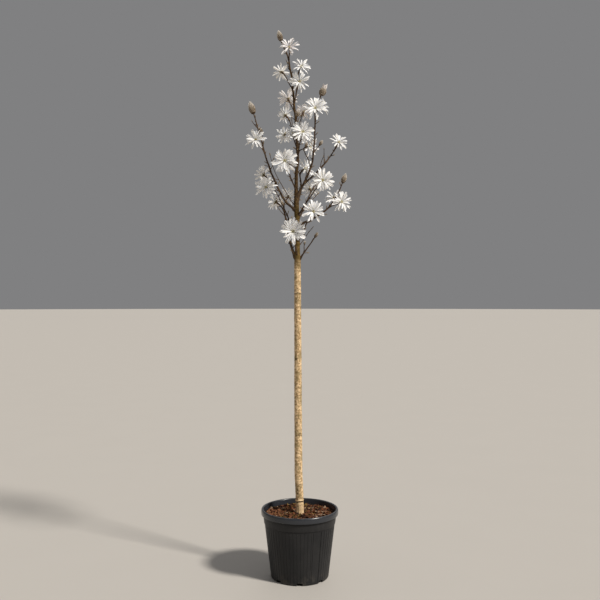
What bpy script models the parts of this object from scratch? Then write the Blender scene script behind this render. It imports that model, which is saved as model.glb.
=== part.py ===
"""A young star magnolia grown as a standard: a clear stem with a small open crown in flower, in its nursery pot.

Metres, +Z up. The origin is the centre of the pot's flat underside. +X is to the right and +Y away,
as seen from the front of the plant. The trunk, each bough and each flowering spray is its own solid.
A direction is an azimuth, from the front towards the right, and a rise above the level, in degrees.
"""

import math
import random
from bisect import bisect_right
from dataclasses import dataclass
from itertools import product

import bmesh
import bpy
from mathutils import Matrix, Vector, geometry
from mathutils.bvhtree import BVHTree

# Pot
POT_HEIGHT = 0.268
BASE_RADIUS = 0.1135
WALL_SLOPE = 0.119  # growth of the wall's radius with height
WALL = 0.003
FOOT_CHAMFER = 0.004
COLLAR_FOOT = 0.213  # the plain band below the rim begins here
COLLAR_STEP = 0.002
RIM_FOOT = 0.246
RIM_RADIUS = 0.1525
RIM_WIDTH = 0.010
RIM_ROUND = 0.004
POT_STEPS = 40
SLOT_COUNT = 8
SLOT_SIZE = (0.016, 0.022, 0.022)  # radial, along the wall, and in height, half of it below the ground

# Compost
SOIL_HEIGHT = 0.248
SOIL_FALL = 0.001  # from the trunk to the wall
TRUNK_SEAT = 0.035  # radius of the level patch that the trunk stands on

# Gaps, merges and shading
GAP = 0.0003  # between two solids that meet
CAP_MERGE = 0.00002  # welds a tube's caps
MERGES = (0.00003, 0.00001, 0.000001)  # corners nearer than this are one; the first that works is used
CLEARANCE = 0.0012  # from a twig or tepal to every solid that it isn't part of
SHARP_ANGLE = math.radians(40)

# Trunk and leader: height, offset across, offset in depth, and radius of the axis at each turn
TRUNK_COURSE = (
    (SOIL_HEIGHT + GAP, 0.0006, 0.000, 0.0160),
    (0.262, 0.0004, 0.000, 0.0151),
    (0.300, -0.0008, 0.000, 0.0153),
    (0.420, -0.0052, 0.000, 0.0151),
    (0.800, -0.0070, 0.002, 0.0142),
    (1.180, -0.0085, 0.000, 0.0127),
    (1.240, -0.0088, 0.000, 0.0125),
    (1.285, -0.0092, 0.000, 0.0100),
    (1.410, -0.0110, -0.002, 0.0100),
    (1.480, -0.0133, 0.000, 0.0098),
    (1.530, -0.0143, 0.003, 0.0074),
    (1.580, -0.0138, 0.004, 0.0068),
    (1.650, -0.0082, 0.001, 0.0060),
    (1.720, -0.0100, -0.003, 0.0056),
    (1.800, -0.0160, -0.003, 0.0049),
    (1.870, -0.0225, 0.000, 0.0044),
    (1.950, -0.0285, 0.003, 0.0040),
    (2.035, -0.0420, 0.000, 0.0034),
)
CLEAR_STEM_TOP = 1.20
CLEAR_STEM_STEP = 0.12  # between rings
LEADER_STEP = 0.034
TRUNK_SIDES = 12

# Boughs and stems
BOUGH_SIDES = 8
STEM_SIDES = 4
HEART_SIDES = 6
LIMB_STEP = 0.028
HANDLE = 0.36  # share of a limb's span that keeps the way it starts and ends with
KINK = 0.0013  # how far a limb strays at each turn
TWIG_RADIUS = 0.0019
TWIG_ANGLE = math.radians(45)  # between a stem and the twigs on it

# Flowers
CALYX_LENGTH = 0.012
HEART_RADII = (0.0026, 0.0058, 0.0062, 0.0030)
HEART_PLACES = (-0.0120, -0.0040, 0.0020, 0.0070)
TEPAL_STATIONS = ((0.0, 0.32), (0.40, 0.88), (0.76, 1.0))  # share of its length, share of its full width
TEPAL_WIDTH = 0.25  # share of its length
TEPAL_THICKNESS = 0.045  # share of its length
TEPAL_ROOT = 0.0025  # distance from the flower's axis
GOLDEN_ANGLE = math.pi * (3 - math.sqrt(5))


@dataclass(frozen=True)
class Whorl:
    """One ring of tepals: how many, their length, height on the heart, and lift at the root and the tip."""

    count: int
    reach: float
    height: float
    root_lift: float
    tip_lift: float


WHORLS = (
    Whorl(count=7, reach=1.0, height=-0.001, root_lift=math.radians(24), tip_lift=math.radians(-14)),
    Whorl(count=4, reach=0.88, height=0.003, root_lift=math.radians(58), tip_lift=math.radians(18)),
)

# Buds: shares of the length and of the greatest radius
BUD_PROFILE = ((0.0, 0.45), (0.30, 1.0), (0.62, 0.88), (1.0, 0.12))
BUD_FATNESS = 0.24  # greatest radius as a share of the length

# Short side shoots, each with a resting bud
SPUR_SPACING = 0.084
SPUR_LENGTH = (0.010, 0.018)
SPUR_RADIUS = 0.0012
SPUR_BUD = 0.010
SPUR_ANGLE = math.radians(52)
SEED = 7


@dataclass(frozen=True)
class Bloom:
    """An open flower: where its heart is, its width, and the direction that it faces."""

    place: tuple
    width: float
    azimuth: float
    rise: float


@dataclass(frozen=True)
class Bud:
    """A flower bud: where its foot is, its length, and the direction that it points."""

    place: tuple
    length: float
    azimuth: float
    rise: float


@dataclass(frozen=True)
class Bough:
    """A limb from its carrier's axis to the place where a spray goes on from it."""

    name: str
    carrier: str
    foot: float
    lean: float
    tip: tuple
    tip_lean: float
    radii: tuple


@dataclass(frozen=True)
class Spray:
    """A stem that ends in a bud or a bloom, with more of them on side twigs.

    The stem goes on from its carrier's tip, or leaves the trunk at the foot height with the given lean.
    """

    name: str
    carrier: str
    end: object
    side: tuple = ()
    foot: float = 0.0
    lean: float = 0.0
    radius: float = 0.0026


BOUGHS = (
    Bough("bough_left_high", "trunk", 1.440, 44, (-0.076, -0.008, 1.514), 22, (0.0050, 0.0042)),
    Bough("bough_left_low", "trunk", 1.245, 30, (-0.052, 0.008, 1.396), 8, (0.0055, 0.0040)),
    Bough("bough_right_high", "trunk", 1.495, 27, (0.030, -0.012, 1.580), 24, (0.0050, 0.0042)),
    Bough("bough_right_low", "trunk", 1.384, 60, (0.060, -0.008, 1.417), 58, (0.0048, 0.0038)),
    Bough("bough_back", "trunk", 1.465, 48, (0.006, 0.070, 1.545), 26, (0.0048, 0.0038)),
    Bough("bough_right_wide", "bough_right_high", 1.552, 56, (0.080, -0.026, 1.606), 42, (0.0038, 0.0033)),
)

SPRAYS = (
    Spray(
        "spray_leader_tip",
        "trunk",
        end=Bud((-0.074, -0.004, 2.118), 0.040, -80, 74),
        side=(Bloom((-0.041, -0.036, 2.078), 0.082, -8, 26),),
    ),
    Spray(
        "spray_top_front",
        "trunk",
        end=Bloom((0.006, -0.046, 2.000), 0.075, 25, 24),
        side=(Bloom((-0.001, -0.078, 1.932), 0.082, 6, 4),),
        foot=1.868,
        lean=34,
        radius=0.0022,
    ),
    Spray(
        "spray_top_back",
        "trunk",
        end=Bloom((-0.074, 0.060, 2.012), 0.072, -158, 24),
        foot=1.925,
        lean=46,
        radius=0.0021,
    ),
    Spray(
        "spray_upper_back_left",
        "trunk",
        end=Bloom((-0.047, 0.056, 1.903), 0.084, -170, 32),
        foot=1.832,
        lean=42,
        radius=0.0021,
    ),
    Spray(
        "spray_upper_back_right",
        "trunk",
        end=Bloom((0.016, 0.066, 1.853), 0.068, 165, 30),
        side=(Bloom((0.014, 0.120, 1.779), 0.082, 175, 12),),
        foot=1.745,
        lean=40,
        radius=0.0024,
    ),
    Spray(
        "spray_mid_back_left",
        "trunk",
        end=Bloom((-0.060, 0.076, 1.842), 0.066, -150, 30),
        side=(Bloom((-0.062, 0.082, 1.762), 0.070, -165, 8),),
        foot=1.690,
        lean=40,
        radius=0.0024,
    ),
    Spray(
        "spray_mid_front",
        "trunk",
        end=Bloom((0.011, -0.102, 1.732), 0.092, 8, 16),
        side=(Bud((0.022, -0.040, 1.690), 0.020, 60, 62),),
        foot=1.650,
        lean=40,
        radius=0.0024,
    ),
    Spray(
        "spray_mid_left",
        "trunk",
        end=Bloom((-0.026, -0.050, 1.738), 0.066, -35, 40),
        side=(Bud((-0.010, -0.032, 1.812), 0.030, 20, 70),),
        foot=1.625,
        lean=36,
        radius=0.0022,
    ),
    Spray(
        "spray_front_left",
        "trunk",
        end=Bloom((-0.056, -0.132, 1.616), 0.100, -6, 10),
        foot=1.520,
        lean=52,
        radius=0.0026,
    ),
    Spray(
        "spray_left_high",
        "bough_left_high",
        end=Bud((-0.183, -0.010, 1.829), 0.048, -92, 72),
        side=(
            Bloom((-0.170, -0.052, 1.713), 0.086, -16, 16),
            Bloom((-0.146, 0.048, 1.594), 0.078, -152, 26),
            Bloom((-0.130, -0.072, 1.526), 0.090, -4, 8),
            Bud((-0.150, 0.010, 1.748), 0.032, -60, 66),
        ),
        radius=0.0042,
    ),
    Spray(
        "spray_left_low",
        "bough_left_low",
        end=Bloom((-0.098, 0.066, 1.488), 0.072, -140, 24),
        side=(Bud((-0.067, 0.014, 1.468), 0.022, -70, 70),),
        radius=0.0040,
    ),
    Spray(
        "spray_back_left",
        "trunk",
        end=Bloom((-0.134, 0.124, 1.562), 0.080, -145, 14),
        side=(Bloom((-0.048, 0.098, 1.512), 0.076, 178, 18),),
        foot=1.362,
        lean=50,
        radius=0.0030,
    ),
    Spray(
        "spray_right_high",
        "bough_right_high",
        end=Bud((0.085, -0.030, 1.896), 0.044, 70, 66),
        side=(
            Bloom((0.059, -0.102, 1.822), 0.096, 2, 24),
            Bloom((0.082, -0.048, 1.842), 0.078, 72, 34),
            Bloom((0.038, 0.042, 1.706), 0.090, 64, -6),
            Bud((0.078, -0.022, 1.700), 0.022, 80, 56),
        ),
        radius=0.0042,
    ),
    Spray(
        "spray_right_wide",
        "bough_right_wide",
        end=Bloom((0.153, -0.014, 1.712), 0.076, 24, 34),
        radius=0.0033,
    ),
    Spray(
        "spray_right_front",
        "trunk",
        end=Bloom((0.086, -0.112, 1.546), 0.095, 16, 10),
        foot=1.418,
        lean=46,
        radius=0.0028,
    ),
    Spray(
        "spray_right_low",
        "bough_right_low",
        end=Bud((0.170, 0.000, 1.557), 0.037, 82, 70),
        side=(
            Bloom((0.136, 0.018, 1.496), 0.080, -14, 42),
            Bloom((0.161, -0.050, 1.472), 0.088, 26, 8),
        ),
        radius=0.0038,
    ),
    Spray(
        "spray_front_right_low",
        "trunk",
        end=Bloom((0.051, -0.122, 1.426), 0.090, 8, 8),
        foot=1.316,
        lean=48,
        radius=0.0027,
    ),
    Spray(
        "spray_front_low",
        "trunk",
        end=Bloom((-0.026, -0.102, 1.352), 0.104, -4, 6),
        foot=1.262,
        lean=50,
        radius=0.0027,
    ),
    Spray(
        "spray_right_shoot",
        "trunk",
        end=Bud((0.060, -0.010, 1.339), 0.022, 70, 56),
        side=(Bud((0.018, 0.010, 1.312), 0.014, 30, 66),),
        foot=1.232,
        lean=22,
        radius=0.0030,
    ),
    Spray(
        "spray_back_mid",
        "bough_back",
        end=Bloom((0.020, 0.088, 1.626), 0.088, 60, 20),
        side=(Bloom((-0.056, 0.142, 1.660), 0.092, -162, 12),),
        radius=0.0038,
    ),
    Spray(
        "spray_back_right",
        "trunk",
        end=Bloom((0.090, 0.128, 1.582), 0.084, 146, 16),
        side=(Bloom((0.042, 0.116, 1.548), 0.078, 160, 6),),
        foot=1.402,
        lean=46,
        radius=0.0030,
    ),
    Spray(
        "spray_back_low",
        "trunk",
        end=Bloom((-0.022, 0.104, 1.382), 0.086, -176, 12),
        foot=1.288,
        lean=52,
        radius=0.0027,
    ),
)


def facing(azimuth, rise):
    """Unit vector of a direction given in degrees."""
    turn = math.radians(azimuth)
    lift = math.radians(rise)
    return Vector((math.sin(turn) * math.cos(lift), -math.cos(turn) * math.cos(lift), math.sin(lift)))


def leaning(start, tip, lean):
    """Unit vector that leans by so many degrees from upright, on the side where the tip lies."""
    outward = Vector((tip.x - start.x, tip.y - start.y, 0.0)).normalized()
    return outward * math.sin(math.radians(lean)) + Vector((0, 0, 1)) * math.cos(math.radians(lean))


def trunk_at(height):
    """Point on the trunk's axis and its radius at a height."""
    heights = [row[0] for row in TRUNK_COURSE]
    high = min(max(bisect_right(heights, height), 1), len(heights) - 1)
    below, above = TRUNK_COURSE[high - 1], TRUNK_COURSE[high]
    share = (height - below[0]) / (above[0] - below[0])
    ease = share * share * (3 - 2 * share)
    across, depth = (below[axis] + (above[axis] - below[axis]) * ease for axis in (1, 2))
    return Vector((across, depth, height)), below[3] + (above[3] - below[3]) * share


def trunk_heights():
    """Heights of the trunk's rings: close together at the foot and along the leader."""
    foot = [row[0] for row in TRUNK_COURSE[:3]]
    stem_count = round((CLEAR_STEM_TOP - foot[-1]) / CLEAR_STEM_STEP)
    stem = [foot[-1] + (CLEAR_STEM_TOP - foot[-1]) * i / stem_count for i in range(1, stem_count + 1)]
    top = TRUNK_COURSE[-1][0]
    leader_count = round((top - CLEAR_STEM_TOP) / LEADER_STEP)
    leader = [CLEAR_STEM_TOP + (top - CLEAR_STEM_TOP) * i / leader_count for i in range(1, leader_count + 1)]
    return foot + stem + leader


def limb_path(name, start, start_way, end, end_way, step=LIMB_STEP):
    """Points of a limb from start to end, which strays a little at each turn by a seeded rule."""
    span = (end - start).length
    count = max(4, round(span / step) + 1)
    handles = start + start_way * span * HANDLE, end - end_way * span * HANDLE
    points = geometry.interpolate_bezier(start, *handles, end, count)
    chance = random.Random(f"{SEED} {name}")
    for point in points[2:-2]:
        point += Vector([chance.uniform(-KINK, KINK) for axis in range(3)])
    return points


def tapering(count, foot_radius, tip_radius):
    """Radii that fall evenly from the foot to the tip."""
    return [foot_radius + (tip_radius - foot_radius) * i / (count - 1) for i in range(count)]


def tube(name, points, radii, sides):
    """Closed mesh object: a curve with the given radii and filled caps."""
    curve = bpy.data.curves.new(name, "CURVE")
    curve.dimensions = "3D"
    curve.bevel_depth = 1.0
    curve.bevel_resolution = sides // 2 - 2
    curve.use_fill_caps = True
    spline = curve.splines.new("POLY")
    spline.points.add(len(points) - 1)
    for knot, point, radius in zip(spline.points, points, radii):
        knot.co = (*point, 1.0)
        knot.radius = radius
    source = bpy.data.objects.new(name, curve)
    bpy.context.scene.collection.objects.link(source)
    evaluated = source.evaluated_get(bpy.context.evaluated_depsgraph_get())
    mesh = bpy.data.meshes.new_from_object(evaluated)
    placed = source.matrix_world.copy()
    bpy.data.objects.remove(source)
    bpy.data.curves.remove(curve)
    shape = bmesh.new()
    shape.from_mesh(mesh)
    bmesh.ops.remove_doubles(shape, verts=shape.verts, dist=CAP_MERGE)
    bmesh.ops.recalc_face_normals(shape, faces=shape.faces)
    shape.to_mesh(mesh)
    shape.free()
    solid = bpy.data.objects.new(name, mesh)
    solid.matrix_world = placed
    return solid


def bent(place, length, root_lift, tip_lift):
    """Move a point of a straight strip along +X to the same strip bent up at its root and over at its tip."""
    turn = (root_lift - tip_lift) / length
    lift = root_lift - turn * place.x
    across = (math.sin(root_lift) - math.sin(lift)) / turn
    up = (math.cos(lift) - math.cos(root_lift)) / turn
    return Vector((across - math.sin(lift) * place.z, place.y, up + math.cos(lift) * place.z))


def make_tepal(length, root_lift, tip_lift):
    """Mesh of one strap-shaped tepal from its root at the origin along +X, keeled beneath."""
    half_width = length * TEPAL_WIDTH / 2
    shape = bmesh.new()
    root = TEPAL_STATIONS[0][1]
    ring = bmesh.ops.create_circle(shape, cap_ends=True, segments=3, radius=half_width * root)["verts"]
    bmesh.ops.rotate(shape, verts=ring, matrix=Matrix.Rotation(math.radians(90), 3, "Y"))
    bmesh.ops.scale(shape, verts=ring, vec=(1, 1, TEPAL_THICKNESS / TEPAL_WIDTH))
    cap = shape.faces[:][0]
    stations = TEPAL_STATIONS + ((1.0, 0.35),)
    for (place, width), (next_place, next_width) in zip(stations, stations[1:]):
        grown = bmesh.ops.extrude_face_region(shape, geom=[cap])["geom"]
        if place > 0:
            bmesh.ops.delete(shape, geom=[cap], context="FACES_ONLY")
        cap = next(item for item in grown if isinstance(item, bmesh.types.BMFace))
        bmesh.ops.translate(shape, verts=cap.verts, vec=((next_place - place) * length, 0, 0))
        bmesh.ops.scale(shape, verts=cap.verts, vec=(1, next_width / width, next_width / width))
    bmesh.ops.pointmerge(shape, verts=cap.verts[:], merge_co=(length, 0, 0))
    for vertex in shape.verts:
        vertex.co = bent(vertex.co, length, root_lift, tip_lift)
    bmesh.ops.recalc_face_normals(shape, faces=shape.faces)
    mesh = bpy.data.meshes.new("tepal")
    shape.to_mesh(mesh)
    shape.free()
    return mesh


class Occupied:
    """The solids that already stand, which no twig or tepal of a later one may touch."""

    def __init__(self):
        self.trees = {}

    def add(self, solid):
        """Note a finished solid."""
        self.trees[solid.name] = self.tree_of(solid, 0.0)

    def is_free(self, piece):
        """Whether a piece stays clear of every solid noted so far."""
        grown = self.tree_of(piece, CLEARANCE)
        return not any(tree.overlap(grown) for tree in self.trees.values())

    @staticmethod
    def tree_of(solid, growth):
        """Search tree of a solid's faces, each corner moved outwards by the growth."""
        corners = [solid.matrix_world @ vertex.co + vertex.normal * growth for vertex in solid.data.vertices]
        return BVHTree.FromPolygons(corners, [face.vertices[:] for face in solid.data.polygons])


def finish(solid, colour, roughness):
    """Shade a solid smooth but for its edges, and give it its own material."""
    if solid.data.polygons:
        solid.data.shade_smooth()
        solid.data.set_sharp_from_angle(angle=SHARP_ANGLE)
    material = bpy.data.materials.new(solid.name)
    material.use_nodes = True
    shader = material.node_tree.nodes["Principled BSDF"]
    shader.inputs["Base Color"].default_value = (*colour, 1.0)
    shader.inputs["Roughness"].default_value = roughness
    solid.data.materials.clear()
    solid.data.materials.append(material)


def wall_radius(height):
    """Outer radius of the pot's plain wall at a height."""
    return BASE_RADIUS + WALL_SLOPE * height


def arc(centre_radius, centre_height, radius, first, last, count=3):
    """Profile points round a quarter of the rim, between two angles in degrees."""
    angles = [math.radians(first + (last - first) * i / (count - 1)) for i in range(count)]
    return [(centre_radius + radius * math.cos(a), centre_height + radius * math.sin(a)) for a in angles]


def turned(name, profile):
    """Solid turned from a profile of (radius, height) points that runs down its outer side."""
    mesh = bpy.data.meshes.new(name)
    corners = [(radius, 0.0, height) for radius, height in profile]
    mesh.from_pydata(corners, [(i, i + 1) for i in range(len(corners) - 1)], [])
    solid = bpy.data.objects.new(name, mesh)
    screw = solid.modifiers.new("Turn", "SCREW")
    screw.steps = POT_STEPS
    screw.render_steps = POT_STEPS
    screw.use_merge_vertices = True
    screw.merge_threshold = 0.00005
    screw.use_smooth_shade = True
    return solid


def build_pot(parts, cutters):
    """Open pot with a rolled rim, a plain collar and drainage slots round its foot."""
    rim_inside = RIM_RADIUS - RIM_WIDTH
    round_top = POT_HEIGHT - RIM_ROUND
    profile = [(0.0, WALL), (wall_radius(WALL) - WALL, WALL), (wall_radius(RIM_FOOT) - WALL, RIM_FOOT)]
    profile += arc(rim_inside + RIM_ROUND, round_top, RIM_ROUND, 180, 90)
    profile += arc(RIM_RADIUS - RIM_ROUND, round_top, RIM_ROUND, 90, 0)
    profile += [
        (RIM_RADIUS, RIM_FOOT),
        (wall_radius(RIM_FOOT) + COLLAR_STEP, RIM_FOOT),
        (wall_radius(COLLAR_FOOT) + COLLAR_STEP, COLLAR_FOOT),
        (wall_radius(COLLAR_FOOT), COLLAR_FOOT - COLLAR_STEP),
        (wall_radius(FOOT_CHAMFER), FOOT_CHAMFER),
        (BASE_RADIUS - FOOT_CHAMFER, 0.0),
        (0.0, 0.0),
    ]
    pot = turned("pot", profile)
    parts.objects.link(pot)
    for index in range(SLOT_COUNT):
        slot = add_slot(index, cutters)
        cut = pot.modifiers.new(slot.name, "BOOLEAN")
        cut.operation = "DIFFERENCE"
        cut.object = slot
    finish(pot, (0.018, 0.017, 0.016), 0.42)


def add_slot(index, cutters):
    """Cutter for one drainage slot, set across the foot of the wall."""
    turn = math.radians(-90) + math.tau * index / SLOT_COUNT
    shape = bmesh.new()
    size = Matrix.Diagonal((*SLOT_SIZE, 1.0))
    place = Matrix.Rotation(turn, 4, "Z") @ Matrix.Translation((BASE_RADIUS, 0, 0))
    bmesh.ops.create_cube(shape, size=1.0, matrix=place @ size)
    mesh = bpy.data.meshes.new(f"slot_{index + 1}")
    shape.to_mesh(mesh)
    shape.free()
    slot = bpy.data.objects.new(mesh.name, mesh)
    slot.display_type = "WIRE"
    slot.hide_render = True
    cutters.objects.link(slot)
    return slot


def build_compost(parts):
    """Compost that fills the pot, level round the trunk and falling a little to the wall."""
    edge_height = SOIL_HEIGHT - SOIL_FALL
    floor_height = WALL + GAP
    profile = [
        (0.0, SOIL_HEIGHT),
        (TRUNK_SEAT, SOIL_HEIGHT),
        (wall_radius(edge_height) - WALL - GAP * 2, edge_height),
        (wall_radius(floor_height) - WALL - GAP * 2, floor_height),
        (0.0, floor_height),
    ]
    compost = turned("compost", profile)
    parts.objects.link(compost)
    finish(compost, (0.075, 0.040, 0.024), 0.95)


def trunk_tube(name, growth):
    """The trunk as a tube whose radii are larger by the growth."""
    stations = [trunk_at(height) for height in trunk_heights()]
    points = [point for point, radius in stations]
    radii = [radius + growth for point, radius in stations]
    return tube(name, points, radii, TRUNK_SIDES)


def add_cutter(cutter, cutters):
    """Keep a limb's grown copy, which cuts the limbs on it clear of its surface."""
    cutter.display_type = "WIRE"
    cutter.hide_render = True
    cutters.objects.link(cutter)


def largest_shell(mesh, merge):
    """Keep only the largest shell of a mesh, so that scraps and sealed hollows go; tell if it is closed."""
    shape = bmesh.new()
    shape.from_mesh(mesh)
    bmesh.ops.remove_doubles(shape, verts=shape.verts, dist=merge)
    bmesh.ops.dissolve_degenerate(shape, dist=merge, edges=shape.edges)
    bmesh.ops.triangulate(shape, faces=shape.faces)
    remaining = set(shape.faces)
    shells = []
    while remaining:
        shell = {remaining.pop()}
        frontier = list(shell)
        while frontier:
            around = {face for edge in frontier.pop().edges for face in edge.link_faces}
            fresh = around & remaining
            remaining -= fresh
            shell |= fresh
            frontier.extend(fresh)
        shells.append(shell)
    largest = max(shells, key=len)
    bmesh.ops.delete(shape, geom=[face for face in shape.faces if face not in largest], context="FACES")
    closed = all(len(edge.link_faces) == 2 for edge in shape.edges)
    shape.to_mesh(mesh)
    shape.free()
    return closed


def add_boolean(solid, operation, solver, operand):
    """Boolean modifier whose operand is an object, or a collection of them."""
    change = solid.modifiers.new(operation.title(), "BOOLEAN")
    change.operation = operation
    change.solver = solver
    if isinstance(operand, bpy.types.Collection):
        change.operand_type = "COLLECTION"
        change.collection = operand
    else:
        change.object = operand


def fuse(stem, pieces, cutter):
    """Make one solid of a stem and its pieces, cut clear of the limb that carries it, if a cutter is given."""
    group = new_collection(f"{stem.name}_pieces")
    bpy.context.scene.collection.objects.link(stem)
    for piece in pieces:
        group.objects.link(piece)
    for solver, merge in product(("EXACT", "MANIFOLD"), MERGES):
        stem.modifiers.clear()
        if pieces:
            add_boolean(stem, "UNION", solver, group)
        if cutter:
            add_boolean(stem, "DIFFERENCE", solver, cutter)
        bpy.context.view_layer.update()
        mesh = bpy.data.meshes.new_from_object(stem.evaluated_get(bpy.context.evaluated_depsgraph_get()))
        if largest_shell(mesh, merge):
            break
    stem.modifiers.clear()
    stem.data = mesh
    for piece in pieces:
        bpy.data.objects.remove(piece)
    bpy.data.collections.remove(group)
    bpy.context.scene.collection.objects.unlink(stem)
    return stem


def limb_point(points, height):
    """Point on a limb's path at a height."""
    for low, high in zip(points, points[1:]):
        if low.z <= height <= high.z:
            return low.lerp(high, (height - low.z) / (high.z - low.z))
    return points[-1]


def grow_bough(bough, paths, cutter):
    """Tapering limb from its carrier to its tip."""
    start = limb_point(paths[bough.carrier], bough.foot)
    tip = Vector(bough.tip)
    ways = leaning(start, tip, bough.lean), leaning(start, tip, bough.tip_lean)
    points = limb_path(bough.name, start, ways[0], tip, ways[1])
    paths[bough.name] = points
    limb = tube(bough.name, points, tapering(len(points), *bough.radii), BOUGH_SIDES)
    return fuse(limb, [], cutter)


def stalk_end(item):
    """Where the stalk of a bud or bloom ends, and the way that it points there."""
    way = facing(item.azimuth, item.rise)
    place = Vector(item.place)
    if isinstance(item, Bloom):
        place = place - way * CALYX_LENGTH * 0.8
    return place, way


def twig_from(stem, name, item):
    """Twig from the place on a stem where it can branch at its usual angle, out to a bud or bloom."""
    end, end_way = stalk_end(item)

    def misfit(index):
        along = (stem[index + 1] - stem[index - 1]).normalized()
        return abs(along.angle(end - stem[index]) - TWIG_ANGLE)

    index = min(range(1, len(stem) - 1), key=misfit)
    along = (stem[index + 1] - stem[index - 1]).normalized()
    start_way = (along + (end - stem[index]).normalized()).normalized()
    points = limb_path(name, stem[index], start_way, end, end_way)
    return tube(name, points, tapering(len(points), TWIG_RADIUS, TWIG_RADIUS * 0.8), STEM_SIDES)


def make_bud(bud, name):
    """Pointed ovoid from the foot of a bud."""
    way = facing(bud.azimuth, bud.rise)
    foot = Vector(bud.place) - way * bud.length * 0.08
    points = [foot + way * bud.length * place for place, width in BUD_PROFILE]
    radii = [bud.length * BUD_FATNESS * width for place, width in BUD_PROFILE]
    return tube(name, points, radii, HEART_SIDES)


def make_bloom(bloom, name, occupied):
    """Heart and tepals of one flower, without the tepals that would touch another solid."""
    way = facing(bloom.azimuth, bloom.rise)
    centre = Vector(bloom.place)
    chance = random.Random(f"{SEED} {name}")
    pieces = [tube(name, [centre + way * place for place in HEART_PLACES], HEART_RADII, HEART_SIDES)]
    upright = Matrix.Translation(centre) @ way.to_track_quat("Z", "Y").to_matrix().to_4x4()
    first_turn = chance.uniform(0, math.tau)
    for ring, whorl in enumerate(WHORLS):
        for index in range(whorl.count):
            turn = first_turn + ring * GOLDEN_ANGLE + math.tau * (index + chance.uniform(-0.12, 0.12)) / whorl.count
            length = bloom.width / 2 * whorl.reach * chance.uniform(0.96, 1.06)
            mesh = make_tepal(length, whorl.root_lift + chance.uniform(-0.1, 0.1), whorl.tip_lift)
            mesh.transform(
                upright @ Matrix.Rotation(turn, 4, "Z") @ Matrix.Translation((TEPAL_ROOT, 0, whorl.height))
            )
            tepal = bpy.data.objects.new(f"{name}_tepal", mesh)
            if occupied.is_free(tepal):
                pieces.append(tepal)
    return pieces


def make_spurs(stem, name, occupied):
    """Short side shoots with a resting bud, spaced evenly and turned by the golden angle."""
    chance = random.Random(f"{SEED} {name} spurs")
    spacing = max(1, round(SPUR_SPACING / LIMB_STEP))
    turn = chance.uniform(0, math.tau)
    spurs = []
    for index in range(2, len(stem) - 1, spacing):
        turn += GOLDEN_ANGLE
        along = (stem[index + 1] - stem[index - 1]).normalized()
        outward = Matrix.Rotation(turn, 3, along) @ along.orthogonal().normalized()
        way = along * math.cos(SPUR_ANGLE) + outward * math.sin(SPUR_ANGLE)
        length = chance.uniform(*SPUR_LENGTH)
        places = [0.0, length, length + SPUR_BUD * 0.35, length + SPUR_BUD]
        radii = [SPUR_RADIUS, SPUR_RADIUS, SPUR_BUD * 0.2, SPUR_BUD * 0.03]
        spur = tube(f"{name}_spur", [stem[index] + way * place for place in places], radii, STEM_SIDES)
        if occupied.is_free(spur):
            spurs.append(spur)
    return spurs


def grow_spray(spray, paths, cutters, occupied):
    """Stem, twigs, buds and flowers of one spray, fused into one solid."""
    end, end_way = stalk_end(spray.end)
    carrier = paths[spray.carrier]
    from_tip = spray.foot == 0.0
    if from_tip:
        start_way = (carrier[-1] - carrier[-2]).normalized()
        start = carrier[-1] + start_way * GAP
    else:
        start = limb_point(carrier, spray.foot)
        start_way = leaning(start, end, spray.lean)
    points = limb_path(spray.name, start, start_way, end, end_way)
    if from_tip:
        points.insert(1, start + start_way * spray.radius * 1.5)
    stem = tube(spray.name, points, tapering(len(points), spray.radius, TWIG_RADIUS), STEM_SIDES)
    pieces = make_spurs(points, spray.name, occupied)
    for index, item in enumerate((spray.end, *spray.side)):
        name = f"{spray.name}_{index}"
        if index:
            twig = twig_from(points, f"{name}_twig", item)
            if not occupied.is_free(twig):
                bpy.data.objects.remove(twig)
                continue
            pieces.append(twig)
        if isinstance(item, Bloom):
            pieces += make_bloom(item, name, occupied)
        else:
            pieces.append(make_bud(item, name))
    return fuse(stem, pieces, None if from_tip else cutters[spray.carrier])


def build_tree(parts, cutters):
    """Trunk, boughs and sprays, each clear of those before it."""
    trunk = trunk_tube("trunk", 0.0)
    parts.objects.link(trunk)
    finish(trunk, (0.30, 0.23, 0.15), 0.85)
    occupied = Occupied()
    occupied.add(trunk)
    grown = {"trunk": trunk_tube("trunk_cutter", GAP)}
    add_cutter(grown["trunk"], cutters)
    paths = {"trunk": [trunk_at(height)[0] for height in trunk_heights()]}
    for bough in BOUGHS:
        limb = grow_bough(bough, paths, grown[bough.carrier])
        parts.objects.link(limb)
        finish(limb, (0.12, 0.075, 0.050), 0.8)
        occupied.add(limb)
        radii = [radius + GAP for radius in tapering(len(paths[bough.name]), *bough.radii)]
        grown[bough.name] = tube(f"{bough.name}_cutter", paths[bough.name], radii, BOUGH_SIDES)
        add_cutter(grown[bough.name], cutters)
    for spray in SPRAYS:
        solid = grow_spray(spray, paths, grown, occupied)
        parts.objects.link(solid)
        finish(solid, (0.82, 0.80, 0.74), 0.6)
        occupied.add(solid)


def clear_scene():
    """Remove every object that the file starts with."""
    for item in list(bpy.data.objects):
        bpy.data.objects.remove(item)


def new_collection(name):
    """Collection linked to the scene."""
    collection = bpy.data.collections.new(name)
    bpy.context.scene.collection.children.link(collection)
    return collection


def main():
    """Build the whole plant."""
    clear_scene()
    parts = new_collection("magnolia_tree")
    cutters = new_collection("cutters")
    build_pot(parts, cutters)
    build_compost(parts)
    build_tree(parts, cutters)


main()
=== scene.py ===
"""Looks of a young star magnolia standard in its nursery pot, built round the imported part.

Metres, +Z up, in the part's own frame: the origin is the centre of the pot's flat underside, +X is to the
right and +Y away. A direction is an azimuth, from the front towards the right, and a rise above the level.
The limbs follow the rule of the part's solids, and are carried on here to finer twigs, buds and flowers.
"""

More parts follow.
